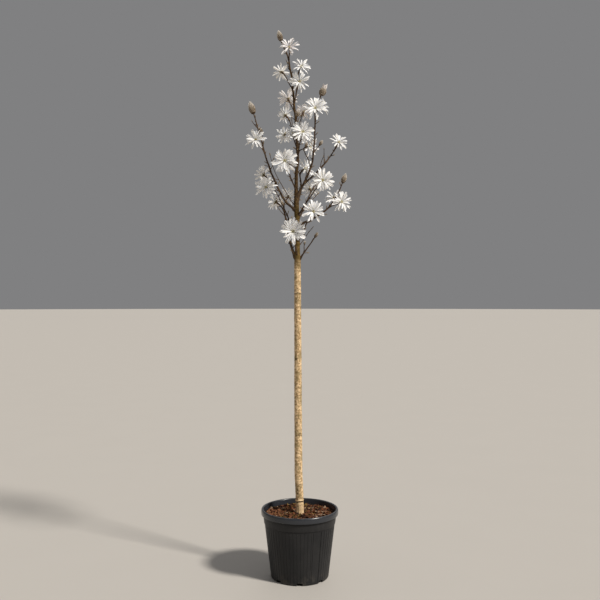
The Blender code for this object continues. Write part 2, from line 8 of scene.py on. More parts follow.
import logging
import math
import random
from bisect import bisect_right
from contextlib import contextmanager
from dataclasses import dataclass, field
from enum import Enum
from typing import Callable, Iterator, Sequence

import bmesh
import bpy
import numpy as np
from mathutils import Matrix, Vector, geometry, kdtree, noise


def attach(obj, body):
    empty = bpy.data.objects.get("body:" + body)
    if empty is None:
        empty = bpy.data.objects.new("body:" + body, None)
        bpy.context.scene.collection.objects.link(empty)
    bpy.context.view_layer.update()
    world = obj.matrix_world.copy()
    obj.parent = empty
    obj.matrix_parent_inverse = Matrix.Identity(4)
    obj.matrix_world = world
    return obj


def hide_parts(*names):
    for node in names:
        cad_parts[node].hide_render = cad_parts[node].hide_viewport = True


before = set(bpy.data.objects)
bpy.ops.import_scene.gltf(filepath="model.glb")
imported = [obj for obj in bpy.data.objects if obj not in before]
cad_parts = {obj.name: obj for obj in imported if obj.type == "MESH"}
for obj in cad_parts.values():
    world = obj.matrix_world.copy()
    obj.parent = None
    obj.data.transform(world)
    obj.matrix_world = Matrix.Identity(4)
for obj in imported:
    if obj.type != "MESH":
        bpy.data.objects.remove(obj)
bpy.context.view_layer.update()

LOG = logging.getLogger("magnolia")
BODY = "root"

Colour = tuple[float, float, float]
Place = tuple[float, float, float]
Span = tuple[float, float]

# Sizes shared with the solids
POT_HEIGHT = 0.268
BASE_RADIUS = 0.1135
WALL_SLOPE = 0.119
WALL = 0.003
FOOT_CHAMFER = 0.004
COLLAR_FOOT = 0.213
COLLAR_STEP = 0.002
RIM_FOOT = 0.246
RIM_RADIUS = 0.1525
RIM_WIDTH = 0.010
RIM_ROUND = 0.004
SLOT_COUNT = 8
SLOT_SIZE = (0.016, 0.022, 0.022)
SOIL_HEIGHT = 0.248
SOIL_FALL = 0.001
GAP = 0.0003

# Height, offset across, offset in depth, and radius of the trunk's axis at each turn
TRUNK_COURSE = (
    (SOIL_HEIGHT + GAP, 0.0006, 0.000, 0.0160),
    (0.262, 0.0004, 0.000, 0.0151),
    (0.300, -0.0008, 0.000, 0.0153),
    (0.420, -0.0052, 0.000, 0.0151),
    (0.800, -0.0070, 0.002, 0.0142),
    (1.180, -0.0085, 0.000, 0.0127),
    (1.240, -0.0088, 0.000, 0.0125),
    (1.285, -0.0092, 0.000, 0.0100),
    (1.410, -0.0110, -0.002, 0.0100),
    (1.480, -0.0133, 0.000, 0.0098),
    (1.530, -0.0143, 0.003, 0.0074),
    (1.580, -0.0138, 0.004, 0.0068),
    (1.650, -0.0082, 0.001, 0.0060),
    (1.720, -0.0100, -0.003, 0.0056),
    (1.800, -0.0160, -0.003, 0.0049),
    (1.870, -0.0225, 0.000, 0.0044),
    (1.950, -0.0285, 0.003, 0.0040),
    (2.035, -0.0420, 0.000, 0.0034),
)
CLEAR_STEM_TOP = 1.20
CLEAR_STEM_STEP = 0.12
LEADER_STEP = 0.034

# The growth rule
LIMB_STEP = 0.028
HANDLE = 0.36
KINK = 0.0013
TWIG_RADIUS = 0.0019
TWIG_ANGLE = math.radians(45)
CALYX_LENGTH = 0.012
STALK_END = 0.8  # of the calyx's length behind the flower's heart
TEPAL_ROOT = 0.0025
GOLDEN_ANGLE = math.pi * (3 - math.sqrt(5))
SPUR_SPACING = 0.084
SPUR_LENGTH = (0.010, 0.018)
SPUR_RADIUS = 0.0012
SPUR_BUD = 0.010
SPUR_ANGLE = math.radians(52)
SEED = 7


@dataclass(frozen=True)
class Whorl:
    """One ring of tepals: how many, their reach, height on the heart, and lift at the root and the tip."""

    count: int
    reach: float
    height: float
    root_lift: float
    tip_lift: float


@dataclass(frozen=True)
class Habit:
    """How a set of whorls stands: its start in a turn, its stray, shortest length and stray of lift."""

    whorls: tuple[Whorl, ...]
    start: float
    stray: float
    shortest: float
    lift_stray: float


PLAIN = Habit(
    (
        Whorl(7, 1.0, -0.001, math.radians(24), math.radians(-14)),
        Whorl(4, 0.88, 0.003, math.radians(58), math.radians(18)),
    ),
    start=0.0, stray=0.12, shortest=0.96, lift_stray=0.10,
)
FINE = Habit(
    (
        Whorl(7, 0.98, 0.0, math.radians(33), math.radians(-6)),
        Whorl(5, 0.90, 0.002, math.radians(47), math.radians(6)),
    ),
    start=0.5, stray=0.16, shortest=0.82, lift_stray=0.12,
)


class BudStage(Enum):
    """How far a flower bud has come."""

    CLOSED = "closed"
    OPENING = "opening"


@dataclass(frozen=True)
class Bloom:
    """An open flower: where its heart is, its width, and the direction that it faces."""

    place: Place
    width: float
    azimuth: float
    rise: float


@dataclass(frozen=True)
class Bud:
    """A flower bud: where its foot is, its length, the direction that it points, and its stage."""

    place: Place
    length: float
    azimuth: float
    rise: float
    stage: BudStage = BudStage.CLOSED


Head = Bud | Bloom


@dataclass(frozen=True)
class Bough:
    """A limb from its carrier's axis to the place where a spray goes on from it."""

    name: str
    carrier: str
    foot: float
    lean: float
    tip: Place
    tip_lean: float
    radii: Span


@dataclass(frozen=True)
class Spray:
    """A stem that ends in a bud or a bloom, with more of them on side twigs."""

    name: str
    carrier: str
    end: Head
    side: tuple[Head, ...] = ()
    foot: float = 0.0
    lean: float = 0.0
    radius: float = 0.0026


@dataclass(frozen=True)
class Shoot:
    """A fine side twig that ends in a small bud, from a height on its carrier."""

    name: str
    carrier: str
    foot: float
    lean: float
    tip: Place
    tip_lean: float
    bud: float


BOUGHS = (
    Bough("bough_left_high", "trunk", 1.440, 44, (-0.076, -0.008, 1.514), 22, (0.0050, 0.0042)),
    Bough("bough_left_low", "trunk", 1.245, 30, (-0.052, 0.008, 1.396), 8, (0.0055, 0.0040)),
    Bough("bough_right_high", "trunk", 1.495, 27, (0.030, -0.012, 1.580), 24, (0.0050, 0.0042)),
    Bough("bough_right_low", "trunk", 1.384, 60, (0.060, -0.008, 1.417), 58, (0.0048, 0.0038)),
    Bough("bough_back", "trunk", 1.465, 48, (0.006, 0.070, 1.545), 26, (0.0048, 0.0038)),
    Bough("bough_right_wide", "bough_right_high", 1.552, 56, (0.080, -0.026, 1.606), 42, (0.0038, 0.0033)),
)

SPRAYS = (
    Spray(
        "spray_leader_tip", "trunk", end=Bud((-0.074, -0.004, 2.118), 0.040, -80, 74),
        side=(Bloom((-0.041, -0.036, 2.078), 0.082, -8, 26),),
    ),
    Spray(
        "spray_top_front", "trunk", end=Bloom((0.006, -0.046, 2.000), 0.075, 25, 24),
        side=(Bloom((-0.001, -0.078, 1.932), 0.082, 6, 4),),
        foot=1.868, lean=34, radius=0.0022,
    ),
    Spray(
        "spray_top_back", "trunk", end=Bloom((-0.074, 0.060, 2.012), 0.072, -158, 24),
        foot=1.925, lean=46, radius=0.0021,
    ),
    Spray(
        "spray_upper_back_left", "trunk", end=Bloom((-0.047, 0.056, 1.903), 0.084, -170, 32),
        foot=1.832, lean=42, radius=0.0021,
    ),
    Spray(
        "spray_upper_back_right", "trunk", end=Bloom((0.016, 0.066, 1.853), 0.068, 165, 30),
        side=(Bloom((0.014, 0.120, 1.779), 0.082, 175, 12),),
        foot=1.745, lean=40, radius=0.0024,
    ),
    Spray(
        "spray_mid_back_left", "trunk", end=Bloom((-0.060, 0.076, 1.842), 0.066, -150, 30),
        side=(Bloom((-0.062, 0.082, 1.762), 0.070, -165, 8),),
        foot=1.690, lean=40, radius=0.0024,
    ),
    Spray(
        "spray_mid_front", "trunk", end=Bloom((0.011, -0.102, 1.732), 0.092, 8, 16),
        side=(Bud((0.022, -0.040, 1.690), 0.020, 60, 62),),
        foot=1.650, lean=40, radius=0.0024,
    ),
    Spray(
        "spray_mid_left", "trunk", end=Bloom((-0.026, -0.050, 1.738), 0.066, -35, 40),
        side=(Bud((-0.010, -0.032, 1.812), 0.030, 20, 70, BudStage.OPENING),),
        foot=1.625, lean=36, radius=0.0022,
    ),
    Spray(
        "spray_front_left", "trunk", end=Bloom((-0.056, -0.132, 1.616), 0.100, -6, 10),
        foot=1.520, lean=52, radius=0.0026,
    ),
    Spray(
        "spray_left_high", "bough_left_high", end=Bud((-0.183, -0.010, 1.829), 0.048, -92, 72),
        side=(
            Bloom((-0.170, -0.052, 1.713), 0.086, -16, 16),
            Bloom((-0.146, 0.048, 1.594), 0.078, -152, 26),
            Bloom((-0.130, -0.072, 1.526), 0.090, -4, 8),
            Bud((-0.150, 0.010, 1.748), 0.032, -60, 66),
        ),
        radius=0.0042,
    ),
    Spray(
        "spray_left_low", "bough_left_low", end=Bloom((-0.098, 0.066, 1.488), 0.072, -140, 24),
        side=(Bud((-0.067, 0.014, 1.468), 0.022, -70, 70),),
        radius=0.0040,
    ),
    Spray(
        "spray_back_left", "trunk", end=Bloom((-0.134, 0.124, 1.562), 0.080, -145, 14),
        side=(Bloom((-0.048, 0.098, 1.512), 0.076, 178, 18),),
        foot=1.362, lean=50, radius=0.0030,
    ),
    Spray(
        "spray_right_high", "bough_right_high",
        end=Bud((0.085, -0.030, 1.896), 0.044, 70, 66, BudStage.OPENING),
        side=(
            Bloom((0.059, -0.102, 1.822), 0.096, 2, 24),
            Bloom((0.082, -0.048, 1.842), 0.078, 72, 34),
            Bloom((0.038, 0.042, 1.706), 0.090, 64, -6),
            Bud((0.078, -0.022, 1.700), 0.022, 80, 56),
        ),
        radius=0.0042,
    ),
    Spray(
        "spray_right_wide", "bough_right_wide", end=Bloom((0.153, -0.014, 1.712), 0.076, 24, 34),
        radius=0.0033,
    ),
    Spray(
        "spray_right_front", "trunk", end=Bloom((0.086, -0.112, 1.546), 0.095, 16, 10),
        foot=1.418, lean=46, radius=0.0028,
    ),
    Spray(
        "spray_right_low", "bough_right_low", end=Bud((0.170, 0.000, 1.557), 0.037, 82, 70),
        side=(
            Bloom((0.136, 0.018, 1.496), 0.080, -14, 42),
            Bloom((0.161, -0.050, 1.472), 0.088, 26, 8),
        ),
        radius=0.0038,
    ),
    Spray(
        "spray_front_right_low", "trunk", end=Bloom((0.051, -0.122, 1.426), 0.090, 8, 8),
        foot=1.316, lean=48, radius=0.0027,
    ),
    Spray(
        "spray_front_low", "trunk", end=Bloom((-0.026, -0.102, 1.352), 0.104, -4, 6),
        foot=1.262, lean=50, radius=0.0027,
    ),
    Spray(
        "spray_right_shoot", "trunk", end=Bud((0.060, -0.010, 1.339), 0.022, 70, 56),
        side=(Bud((0.018, 0.010, 1.312), 0.014, 30, 66),),
        foot=1.232, lean=22, radius=0.0030,
    ),
    Spray(
        "spray_back_mid", "bough_back", end=Bloom((0.020, 0.088, 1.626), 0.088, 60, 20),
        side=(Bloom((-0.056, 0.142, 1.660), 0.092, -162, 12),),
        radius=0.0038,
    ),
    Spray(
        "spray_back_right", "trunk", end=Bloom((0.090, 0.128, 1.582), 0.084, 146, 16),
        side=(Bloom((0.042, 0.116, 1.548), 0.078, 160, 6),),
        foot=1.402, lean=46, radius=0.0030,
    ),
    Spray(
        "spray_back_low", "trunk", end=Bloom((-0.022, 0.104, 1.382), 0.086, -176, 12),
        foot=1.288, lean=52, radius=0.0027,
    ),
)

SHOOTS = (
    Shoot("shoot_left_mid", "trunk", 1.452, 34, (-0.119, 0.030, 1.672), 12, 0.012),
    Shoot("shoot_left_low", "spray_left_low", 1.425, 50, (-0.088, -0.006, 1.461), 30, 0.008),
    Shoot("shoot_right_inner", "bough_right_high", 1.540, 44, (0.029, -0.038, 1.608), 10, 0.009),
    Shoot("shoot_right_thin", "trunk", 1.296, 40, (0.053, 0.022, 1.382), 44, 0.007),
    Shoot("shoot_right_rising", "trunk", 1.412, 42, (0.073, 0.030, 1.516), 46, 0.011),
    Shoot("shoot_top_left", "trunk", 1.748, 40, (-0.034, 0.022, 1.822), 8, 0.008),
    Shoot("shoot_top_right", "trunk", 1.792, 62, (0.002, 0.012, 1.824), 40, 0.007),
    Shoot("shoot_leader_left", "trunk", 1.998, 56, (-0.054, 0.010, 2.044), 34, 0.006),
    Shoot("shoot_wide_side", "bough_right_wide", 1.596, 62, (0.092, -0.040, 1.650), 44, 0.008),
    Shoot("shoot_wide_up", "spray_right_wide", 1.625, 30, (0.096, -0.002, 1.688), 14, 0.009),
    Shoot("shoot_left_side", "spray_left_high", 1.770, 50, (-0.188, -0.014, 1.796), 30, 0.007),
    Shoot("shoot_cluster", "spray_right_shoot", 1.322, 20, (0.066, -0.022, 1.350), 20, 0.011),
    Shoot("shoot_back_fine", "bough_back", 1.520, 52, (-0.040, 0.078, 1.588), 30, 0.009),
)


# Growth


def facing(azimuth: float, rise: float) -> Vector:
    """Unit vector of a direction.

    Args:
        azimuth: Degrees from the front towards the right.
        rise: Degrees above the level.

    Returns:
        The direction.
    """
    turn = math.radians(azimuth)
    lift = math.radians(rise)
    return Vector((math.sin(turn) * math.cos(lift), -math.cos(turn) * math.cos(lift), math.sin(lift)))


def leaning(start: Vector, tip: Vector, lean: float) -> Vector:
    """Unit vector that leans from upright on the side where a tip lies.

    Args:
        start: Where the limb starts.
        tip: Where it ends.
        lean: Degrees from upright.

    Returns:
        The direction.
    """
    outward = Vector((tip.x - start.x, tip.y - start.y, 0.0)).normalized()
    return outward * math.sin(math.radians(lean)) + Vector((0, 0, 1)) * math.cos(math.radians(lean))


def draws(*names: object) -> random.Random:
    """Random numbers of their own for what is named, the same at every run."""
    return random.Random(" ".join(str(name) for name in (SEED, *names)))


def trunk_at(height: float) -> tuple[Vector, float]:
    """Point on the trunk's axis and its radius.

    Args:
        height: Metres above the ground.

    Returns:
        The point and the radius.
    """
    heights = [row[0] for row in TRUNK_COURSE]
    high = min(max(bisect_right(heights, height), 1), len(heights) - 1)
    below, above = TRUNK_COURSE[high - 1], TRUNK_COURSE[high]
    share = (height - below[0]) / (above[0] - below[0])
    ease = share * share * (3 - 2 * share)
    across, depth = (below[axis] + (above[axis] - below[axis]) * ease for axis in (1, 2))
    return Vector((across, depth, height)), below[3] + (above[3] - below[3]) * share


def trunk_heights() -> list[float]:
    """Heights of the solid trunk's rings, which the limbs' feet are set out from.

    Returns:
        The heights, from the foot up.
    """
    heights = [row[0] for row in TRUNK_COURSE[:3]]
    stem = heights[-1], CLEAR_STEM_TOP, CLEAR_STEM_STEP
    leader = CLEAR_STEM_TOP, TRUNK_COURSE[-1][0], LEADER_STEP
    for low, high, step in (stem, leader):
        count = round((high - low) / step)
        heights += [low + (high - low) * i / count for i in range(1, count + 1)]
    return heights


def limb_path(name: str, start: Vector, start_way: Vector, end: Vector, end_way: Vector) -> list[Vector]:
    """Points of a limb, which strays a little at each turn by a seeded rule.

    Args:
        name: The limb's name, which seeds the rule.
        start: Its first point.
        start_way: The way that it starts.
        end: Its last point.
        end_way: The way that it ends.

    Returns:
        The points.
    """
    span = (end - start).length
    count = max(4, round(span / LIMB_STEP) + 1)
    handles = start + start_way * span * HANDLE, end - end_way * span * HANDLE
    points = geometry.interpolate_bezier(start, *handles, end, count)
    chance = draws(name)
    for point in points[2:-2]:
        point += Vector([chance.uniform(-KINK, KINK) for axis in range(3)])
    return points


def limb_point(points: Sequence[Vector], height: float) -> Vector:
    """Point on a limb's path at a height.

    Args:
        points: The path.
        height: Metres above the ground.

    Returns:
        The point, or the path's last one where it doesn't reach the height.
    """
    for low, high in zip(points, points[1:]):
        if low.z <= height <= high.z:
            return low.lerp(high, (height - low.z) / (high.z - low.z))
    return points[-1]


def stalk_end(item: Head) -> tuple[Vector, Vector]:
    """Where the stalk of a bud or bloom ends.

    Args:
        item: The bud or bloom.

    Returns:
        The stalk's end, and the way that it points there.
    """
    way = facing(item.azimuth, item.rise)
    place = Vector(item.place)
    if isinstance(item, Bloom):
        place = place - way * CALYX_LENGTH * STALK_END
    return place, way


def beside(along: Vector, turn: float) -> Vector:
    """Unit vector square to a limb, turned round it."""
    return Matrix.Rotation(turn, 3, along) @ along.orthogonal().normalized()


def rounded(points: Sequence[Vector], step: float) -> list[Vector]:
    """Smooth curve through points, by Catmull and Rom's rule.

    Args:
        points: The points that it passes.
        step: About how far apart its own points are.

    Returns:
        The curve's points, from the first to the last of those given.
    """
    ends = [points[0] * 2 - points[1], *points, points[-1] * 2 - points[-2]]
    curve = []
    for before, low, high, after in zip(ends, ends[1:], ends[2:], ends[3:]):
        count = max(1, round((high - low).length / step))
        for i in range(count):
            t = i / count
            curve.append(
                (
                    low * 2
                    + (high - before) * t
                    + (before * 2 - low * 5 + high * 4 - after) * t * t
                    + (low * 3 - before - high * 3 + after) * t * t * t
                )
                * 0.5
            )
    return curve + [points[-1].copy()]


@dataclass
class Limb:
    """A smooth limb: its points, and its radius at each."""

    name: str
    points: list[Vector]
    radii: list[float]

    def way(self, index: int) -> Vector:
        """Unit vector along the limb at one of its points."""
        low, high = max(index - 1, 0), min(index + 1, len(self.points) - 1)
        return (self.points[high] - self.points[low]).normalized()


@dataclass
class Growth:
    """Every limb, bud and bloom of the plant, placed by the rule of the part's solids.

    The draws are made in the same order as there, so that stems and flowers stand where their solids do.
    A resting bud is its place, the way that it points and its length, and a foot is the place where a limb
    leaves the trunk's axis, its way and its radius.
    """

    fine_step: float = 0.0025
    size_stray: Span = (0.97, 1.03)
    node_spacing: float = 0.021
    node_swell: float = 0.15
    node_ebb: float = 0.35
    collar_swell: float = 0.65
    collar_reach: float = 0.007
    bough_core: float = 0.0045
    twig_taper: float = 0.8
    shoot_taper: Span = (0.85, 0.55)
    stalk_swell: float = 1.25
    stalk_length: float = 0.034
    stub_clear: float = 0.02
    stub_spacing: Span = (0.013, 0.026)
    stub_length: Span = (0.004, 0.010)
    stub_radius: Span = (0.0012, 0.0019)
    stub_angle: Span = (38, 68)
    stub_bud: Span = (0.0055, 0.0095)
    stub_bearer: float = 0.0021
    leader_foot: float = 1.52
    node_bud: Span = (0.0035, 0.006)
    paths: dict[str, list[Vector]] = field(default_factory=dict)
    boughs: list[Limb] = field(default_factory=list)
    twigs: list[Limb] = field(default_factory=list)
    blooms: list[tuple[str, Bloom]] = field(default_factory=list)
    buds: list[tuple[str, Bud]] = field(default_factory=list)
    small_buds: list[tuple[Vector, Vector, float]] = field(default_factory=list)
    feet: list[tuple[Vector, Vector, float]] = field(default_factory=list)

    def grow(self) -> "Growth":
        """Grow the whole plant.

        Returns:
            The growth itself.
        """
        self.paths["trunk"] = [trunk_at(height)[0] for height in trunk_heights()]
        for bough in BOUGHS:
            self._grow_bough(bough)
        for spray in SPRAYS:
            self._grow_spray(spray)
        for shoot in SHOOTS:
            self._grow_shoot(shoot)
        heights = np.arange(self.leader_foot, TRUNK_COURSE[-1][0], self.fine_step)
        points, radii = (list(column) for column in zip(*map(trunk_at, heights)))
        self._grow_stubs(Limb("leader", points, radii))
        for limb in (*self.boughs, *self.twigs[: len(SPRAYS) * 3]):
            if limb.radii[len(limb.radii) // 2] > self.stub_bearer:
                self._grow_stubs(limb)
        return self

    def _add_limb(
        self, limbs: list[Limb], name: str, path: Sequence[Vector], radii: Span, collar: float = 0.0
    ) -> Limb:
        """Add a smooth, tapering limb along a path.

        Args:
            limbs: The list that it goes into.
            name: Its name.
            path: The points that it passes.
            radii: Radius at its foot and at its tip.
            collar: Distance from its first point to its carrier's surface, or 0 for a limb without a collar.

        Returns:
            The limb.
        """
        points = rounded(path, self.fine_step)
        total = sum((high - low).length for low, high in zip(points, points[1:]))
        run = 0.0
        sizes = []
        chance = draws(name, "nodes")
        shift = chance.uniform(0, self.node_spacing)
        for index, point in enumerate(points):
            run += (point - points[index - 1]).length if index else 0.0
            size = radii[0] + (radii[1] - radii[0]) * run / total
            past = ((run + shift) % self.node_spacing) / self.fine_step
            if past < 1.0:
                size *= 1 + self.node_swell
            elif past < 2.0:
                size *= 1 + self.node_swell * self.node_ebb
            if collar:
                size *= 1 + self.collar_swell * math.exp(-max(0.0, run - collar) / self.collar_reach)
            sizes.append(size * chance.uniform(*self.size_stray))
        limb = Limb(name, points, sizes)
        limbs.append(limb)
        return limb

    def _grow_bough(self, bough: Bough) -> None:
        """Grow one bough from its carrier to its tip.

        Args:
            bough: The bough.
        """
        start = limb_point(self.paths[bough.carrier], bough.foot)
        tip = Vector(bough.tip)
        ways = leaning(start, tip, bough.lean), leaning(start, tip, bough.tip_lean)
        path = limb_path(bough.name, start, ways[0], tip, ways[1])
        self.paths[bough.name] = path
        on_trunk = bough.carrier == "trunk"
        carrier_radius = trunk_at(bough.foot)[1] if on_trunk else self.bough_core
        collar = carrier_radius / math.sin(math.radians(bough.lean))
        self._add_limb(self.boughs, bough.name, path, bough.radii, collar)
        if on_trunk:
            self.feet.append((start, ways[0], bough.radii[0]))

    def _twig_from(self, stem: Sequence[Vector], name: str, item: Head) -> None:
        """Grow a twig from where the stem can branch at its usual angle, out to a bud or bloom.

        Args:
            stem: The stem's path.
            name: The twig's name.
            item: The bud or bloom.
        """
        end, end_way = stalk_end(item)

        def misfit(index: int) -> float:
            """How far the branching angle at a point of the stem is from the usual one."""
            along = (stem[index + 1] - stem[index - 1]).normalized()
            return abs(along.angle(end - stem[index]) - TWIG_ANGLE)

        index = min(range(1, len(stem) - 1), key=misfit)
        along = (stem[index + 1] - stem[index - 1]).normalized()
        start_way = (along + (end - stem[index]).normalized()).normalized()
        path = limb_path(name, stem[index], start_way, end, end_way)
        radii = TWIG_RADIUS, TWIG_RADIUS * self.twig_taper
        twig = self._add_limb(self.twigs, name, path, radii, TWIG_RADIUS * 1.4)
        if isinstance(item, Bloom):
            self._swell_stalk(twig)
        self._dot_buds(twig)

    def _swell_stalk(self, limb: Limb) -> None:
        """Let the end of a limb swell into the stout stalk of its flower.

        Args:
            limb: The limb, whose radii are changed.
        """
        run = 0.0
        for index in range(len(limb.points) - 1, 0, -1):
            limb.radii[index] *= 1 + self.stalk_swell * max(0.0, 1 - run / self.stalk_length)
            run += (limb.points[index] - limb.points[index - 1]).length

    def _grow_spurs(self, stem: Sequence[Vector], name: str) -> None:
        """Grow short side shoots with resting buds, spaced evenly and turned by the golden angle.

        Args:
            stem: The stem's path.
            name: The stem's name.
        """
        chance = draws(name, "spurs")
        spacing = max(1, round(SPUR_SPACING / LIMB_STEP))
        turn = chance.uniform(0, math.tau)
        for index in range(2, len(stem) - 1, spacing):
            turn += GOLDEN_ANGLE
            along = (stem[index + 1] - stem[index - 1]).normalized()
            way = along * math.cos(SPUR_ANGLE) + beside(along, turn) * math.sin(SPUR_ANGLE)
            length = chance.uniform(*SPUR_LENGTH)
            path = [stem[index] + way * length * place for place in (0.0, 0.5, 1.0)]
            self._add_limb(self.twigs, f"{name}_spur_{index}", path, (SPUR_RADIUS, SPUR_RADIUS * 0.85))
            self.small_buds.append((path[-1], way, SPUR_BUD))

    def _grow_stubs(self, limb: Limb) -> None:
        """Set stout little side shoots, each with a leaf bud, along an older limb by the golden angle.

        Args:
            limb: The limb.
        """
        chance = draws(limb.name, "stubs")
        turn, run = chance.uniform(0, math.tau), chance.uniform(*self.stub_spacing) + self.stub_clear
        for index in range(1, len(limb.points) - 2):
            run -= (limb.points[index] - limb.points[index - 1]).length
            if run > 0:
                continue
            run = chance.uniform(*self.stub_spacing)
            turn += GOLDEN_ANGLE
            along = limb.way(index)
            outward = beside(along, turn)
            angle = math.radians(chance.uniform(*self.stub_angle))
            way = along * math.cos(angle) + outward * math.sin(angle)
            length = chance.uniform(*self.stub_length)
            foot = limb.points[index]
            reach = limb.radii[index] / math.sin(angle) + length
            thick = min(limb.radii[index] * 0.62, chance.uniform(*self.stub_radius))
            path = [foot, foot + way * reach * 0.5, foot + way * reach + along * length * 0.16]
            self._add_limb(self.twigs, f"{limb.name}_stub_{index}", path, (thick * 1.25, thick * 0.8))
            bud_way = (path[-1] - path[-2]).normalized()
            self.small_buds.append((path[-1], bud_way, chance.uniform(*self.stub_bud)))

    def _dot_buds(self, limb: Limb) -> None:
        """Set a tiny bud at every node of a limb, turned by the golden angle.

        Args:
            limb: The limb.
        """
        chance = draws(limb.name, "dots")
        turn = chance.uniform(0, math.tau)
        stride = round(self.node_spacing / self.fine_step)
        for index in range(stride, len(limb.points) - stride // 2, stride):
            turn += GOLDEN_ANGLE
            along = limb.way(index)
            outward = beside(along, turn)
            place = limb.points[index] + outward * limb.radii[index] * 0.7
            way = (along + outward * 0.7).normalized()
            self.small_buds.append((place, way, chance.uniform(*self.node_bud)))

    def _grow_spray(self, spray: Spray) -> None:
        """Grow the stem, twigs, spurs, buds and blooms of one spray.

        Args:
            spray: The spray.
        """
        end, end_way = stalk_end(spray.end)
        carrier = self.paths[spray.carrier]
        if spray.foot:
            start = limb_point(carrier, spray.foot)
            start_way = leaning(start, end, spray.lean)
        else:
            start_way = (carrier[-1] - carrier[-2]).normalized()
            start = carrier[-1] + start_way * GAP
        path = limb_path(spray.name, start, start_way, end, end_way)
        self.paths[spray.name] = path
        rooted, collar, foot_radius = list(path), 0.0, spray.radius
        if spray.foot:
            collar = trunk_at(spray.foot)[1] / math.sin(math.radians(spray.lean))
            self.feet.append((start, start_way, spray.radius))
        else:
            path.insert(1, start + start_way * spray.radius * 1.5)
            rooted[0] = start - start_way * spray.radius
            foot_radius = max(spray.radius, self._tip_radius(spray.carrier))
        stem = self._add_limb(self.twigs, spray.name, rooted, (foot_radius, TWIG_RADIUS), collar)
        if isinstance(spray.end, Bloom):
            self._swell_stalk(stem)
        self._dot_buds(stem)
        self._grow_spurs(path, spray.name)
        for index, item in enumerate((spray.end, *spray.side)):
            name = f"{spray.name}_{index}"
            if index:
                self._twig_from(path, f"{name}_twig", item)
            (self.blooms if isinstance(item, Bloom) else self.buds).append((name, item))

    @staticmethod
    def _tip_radius(carrier: str) -> float:
        """Radius at the tip of the trunk or of a bough."""
        tips = {bough.name: bough.radii[1] for bough in BOUGHS}
        return tips.get(carrier, TRUNK_COURSE[-1][3])

    def _grow_shoot(self, shoot: Shoot) -> None:
        """Grow one fine side twig.

        Args:
            shoot: The twig.
        """
        start = limb_point(self.paths[shoot.carrier], shoot.foot)
        tip = Vector(shoot.tip)
        ways = leaning(start, tip, shoot.lean), leaning(start, tip, shoot.tip_lean)
        path = limb_path(shoot.name, start, ways[0], tip, ways[1])
        self.paths[shoot.name] = path
        radii = TWIG_RADIUS * self.shoot_taper[0], TWIG_RADIUS * self.shoot_taper[1]
        self._dot_buds(self._add_limb(self.twigs, shoot.name, path, radii, 0.002))
        if (tip - start).length > SPUR_SPACING:
            self._grow_spurs(path, shoot.name)
        self.small_buds.append((tip - ways[1] * shoot.bud * 0.1, ways[1], shoot.bud))


# Shaders


class Value:
    """A number socket of a shader, on which Python's arithmetic adds Math nodes."""

    def __init__(self, shader: "Shader", socket: bpy.types.NodeSocket) -> None:
        """Wrap a socket of a shader."""
        self.shader = shader
        self.socket = socket

    def _sum(self, operation: str, first: "Value | float", second: "Value | float") -> "Value":
        """Add a Math node."""
        return self.shader.number("ShaderNodeMath", {"operation": operation}, {0: first, 1: second})

    def __add__(self, other: "Value | float") -> "Value":
        """Sum."""
        return self._sum("ADD", self, other)

    def __sub__(self, other: "Value | float") -> "Value":
        """Difference."""
        return self._sum("SUBTRACT", self, other)

    def __rsub__(self, other: "Value | float") -> "Value":
        """Difference from a number."""
        return self._sum("SUBTRACT", other, self)

    def __mul__(self, other: "Value | float") -> "Value":
        """Product."""
        return self._sum("MULTIPLY", self, other)

    __radd__ = __add__
    __rmul__ = __mul__

    def larger(self, other: "Value | float") -> "Value":
        """The larger of this and another."""
        return self._sum("MAXIMUM", self, other)

    def eased(self, low: float, high: float) -> "Value":
        """Smooth step from 0 at the low value to 1 at the high one."""
        settings = {"interpolation_type": "SMOOTHSTEP"}
        return self.shader.number("ShaderNodeMapRange", settings, {"Value": self, 1: low, 2: high})


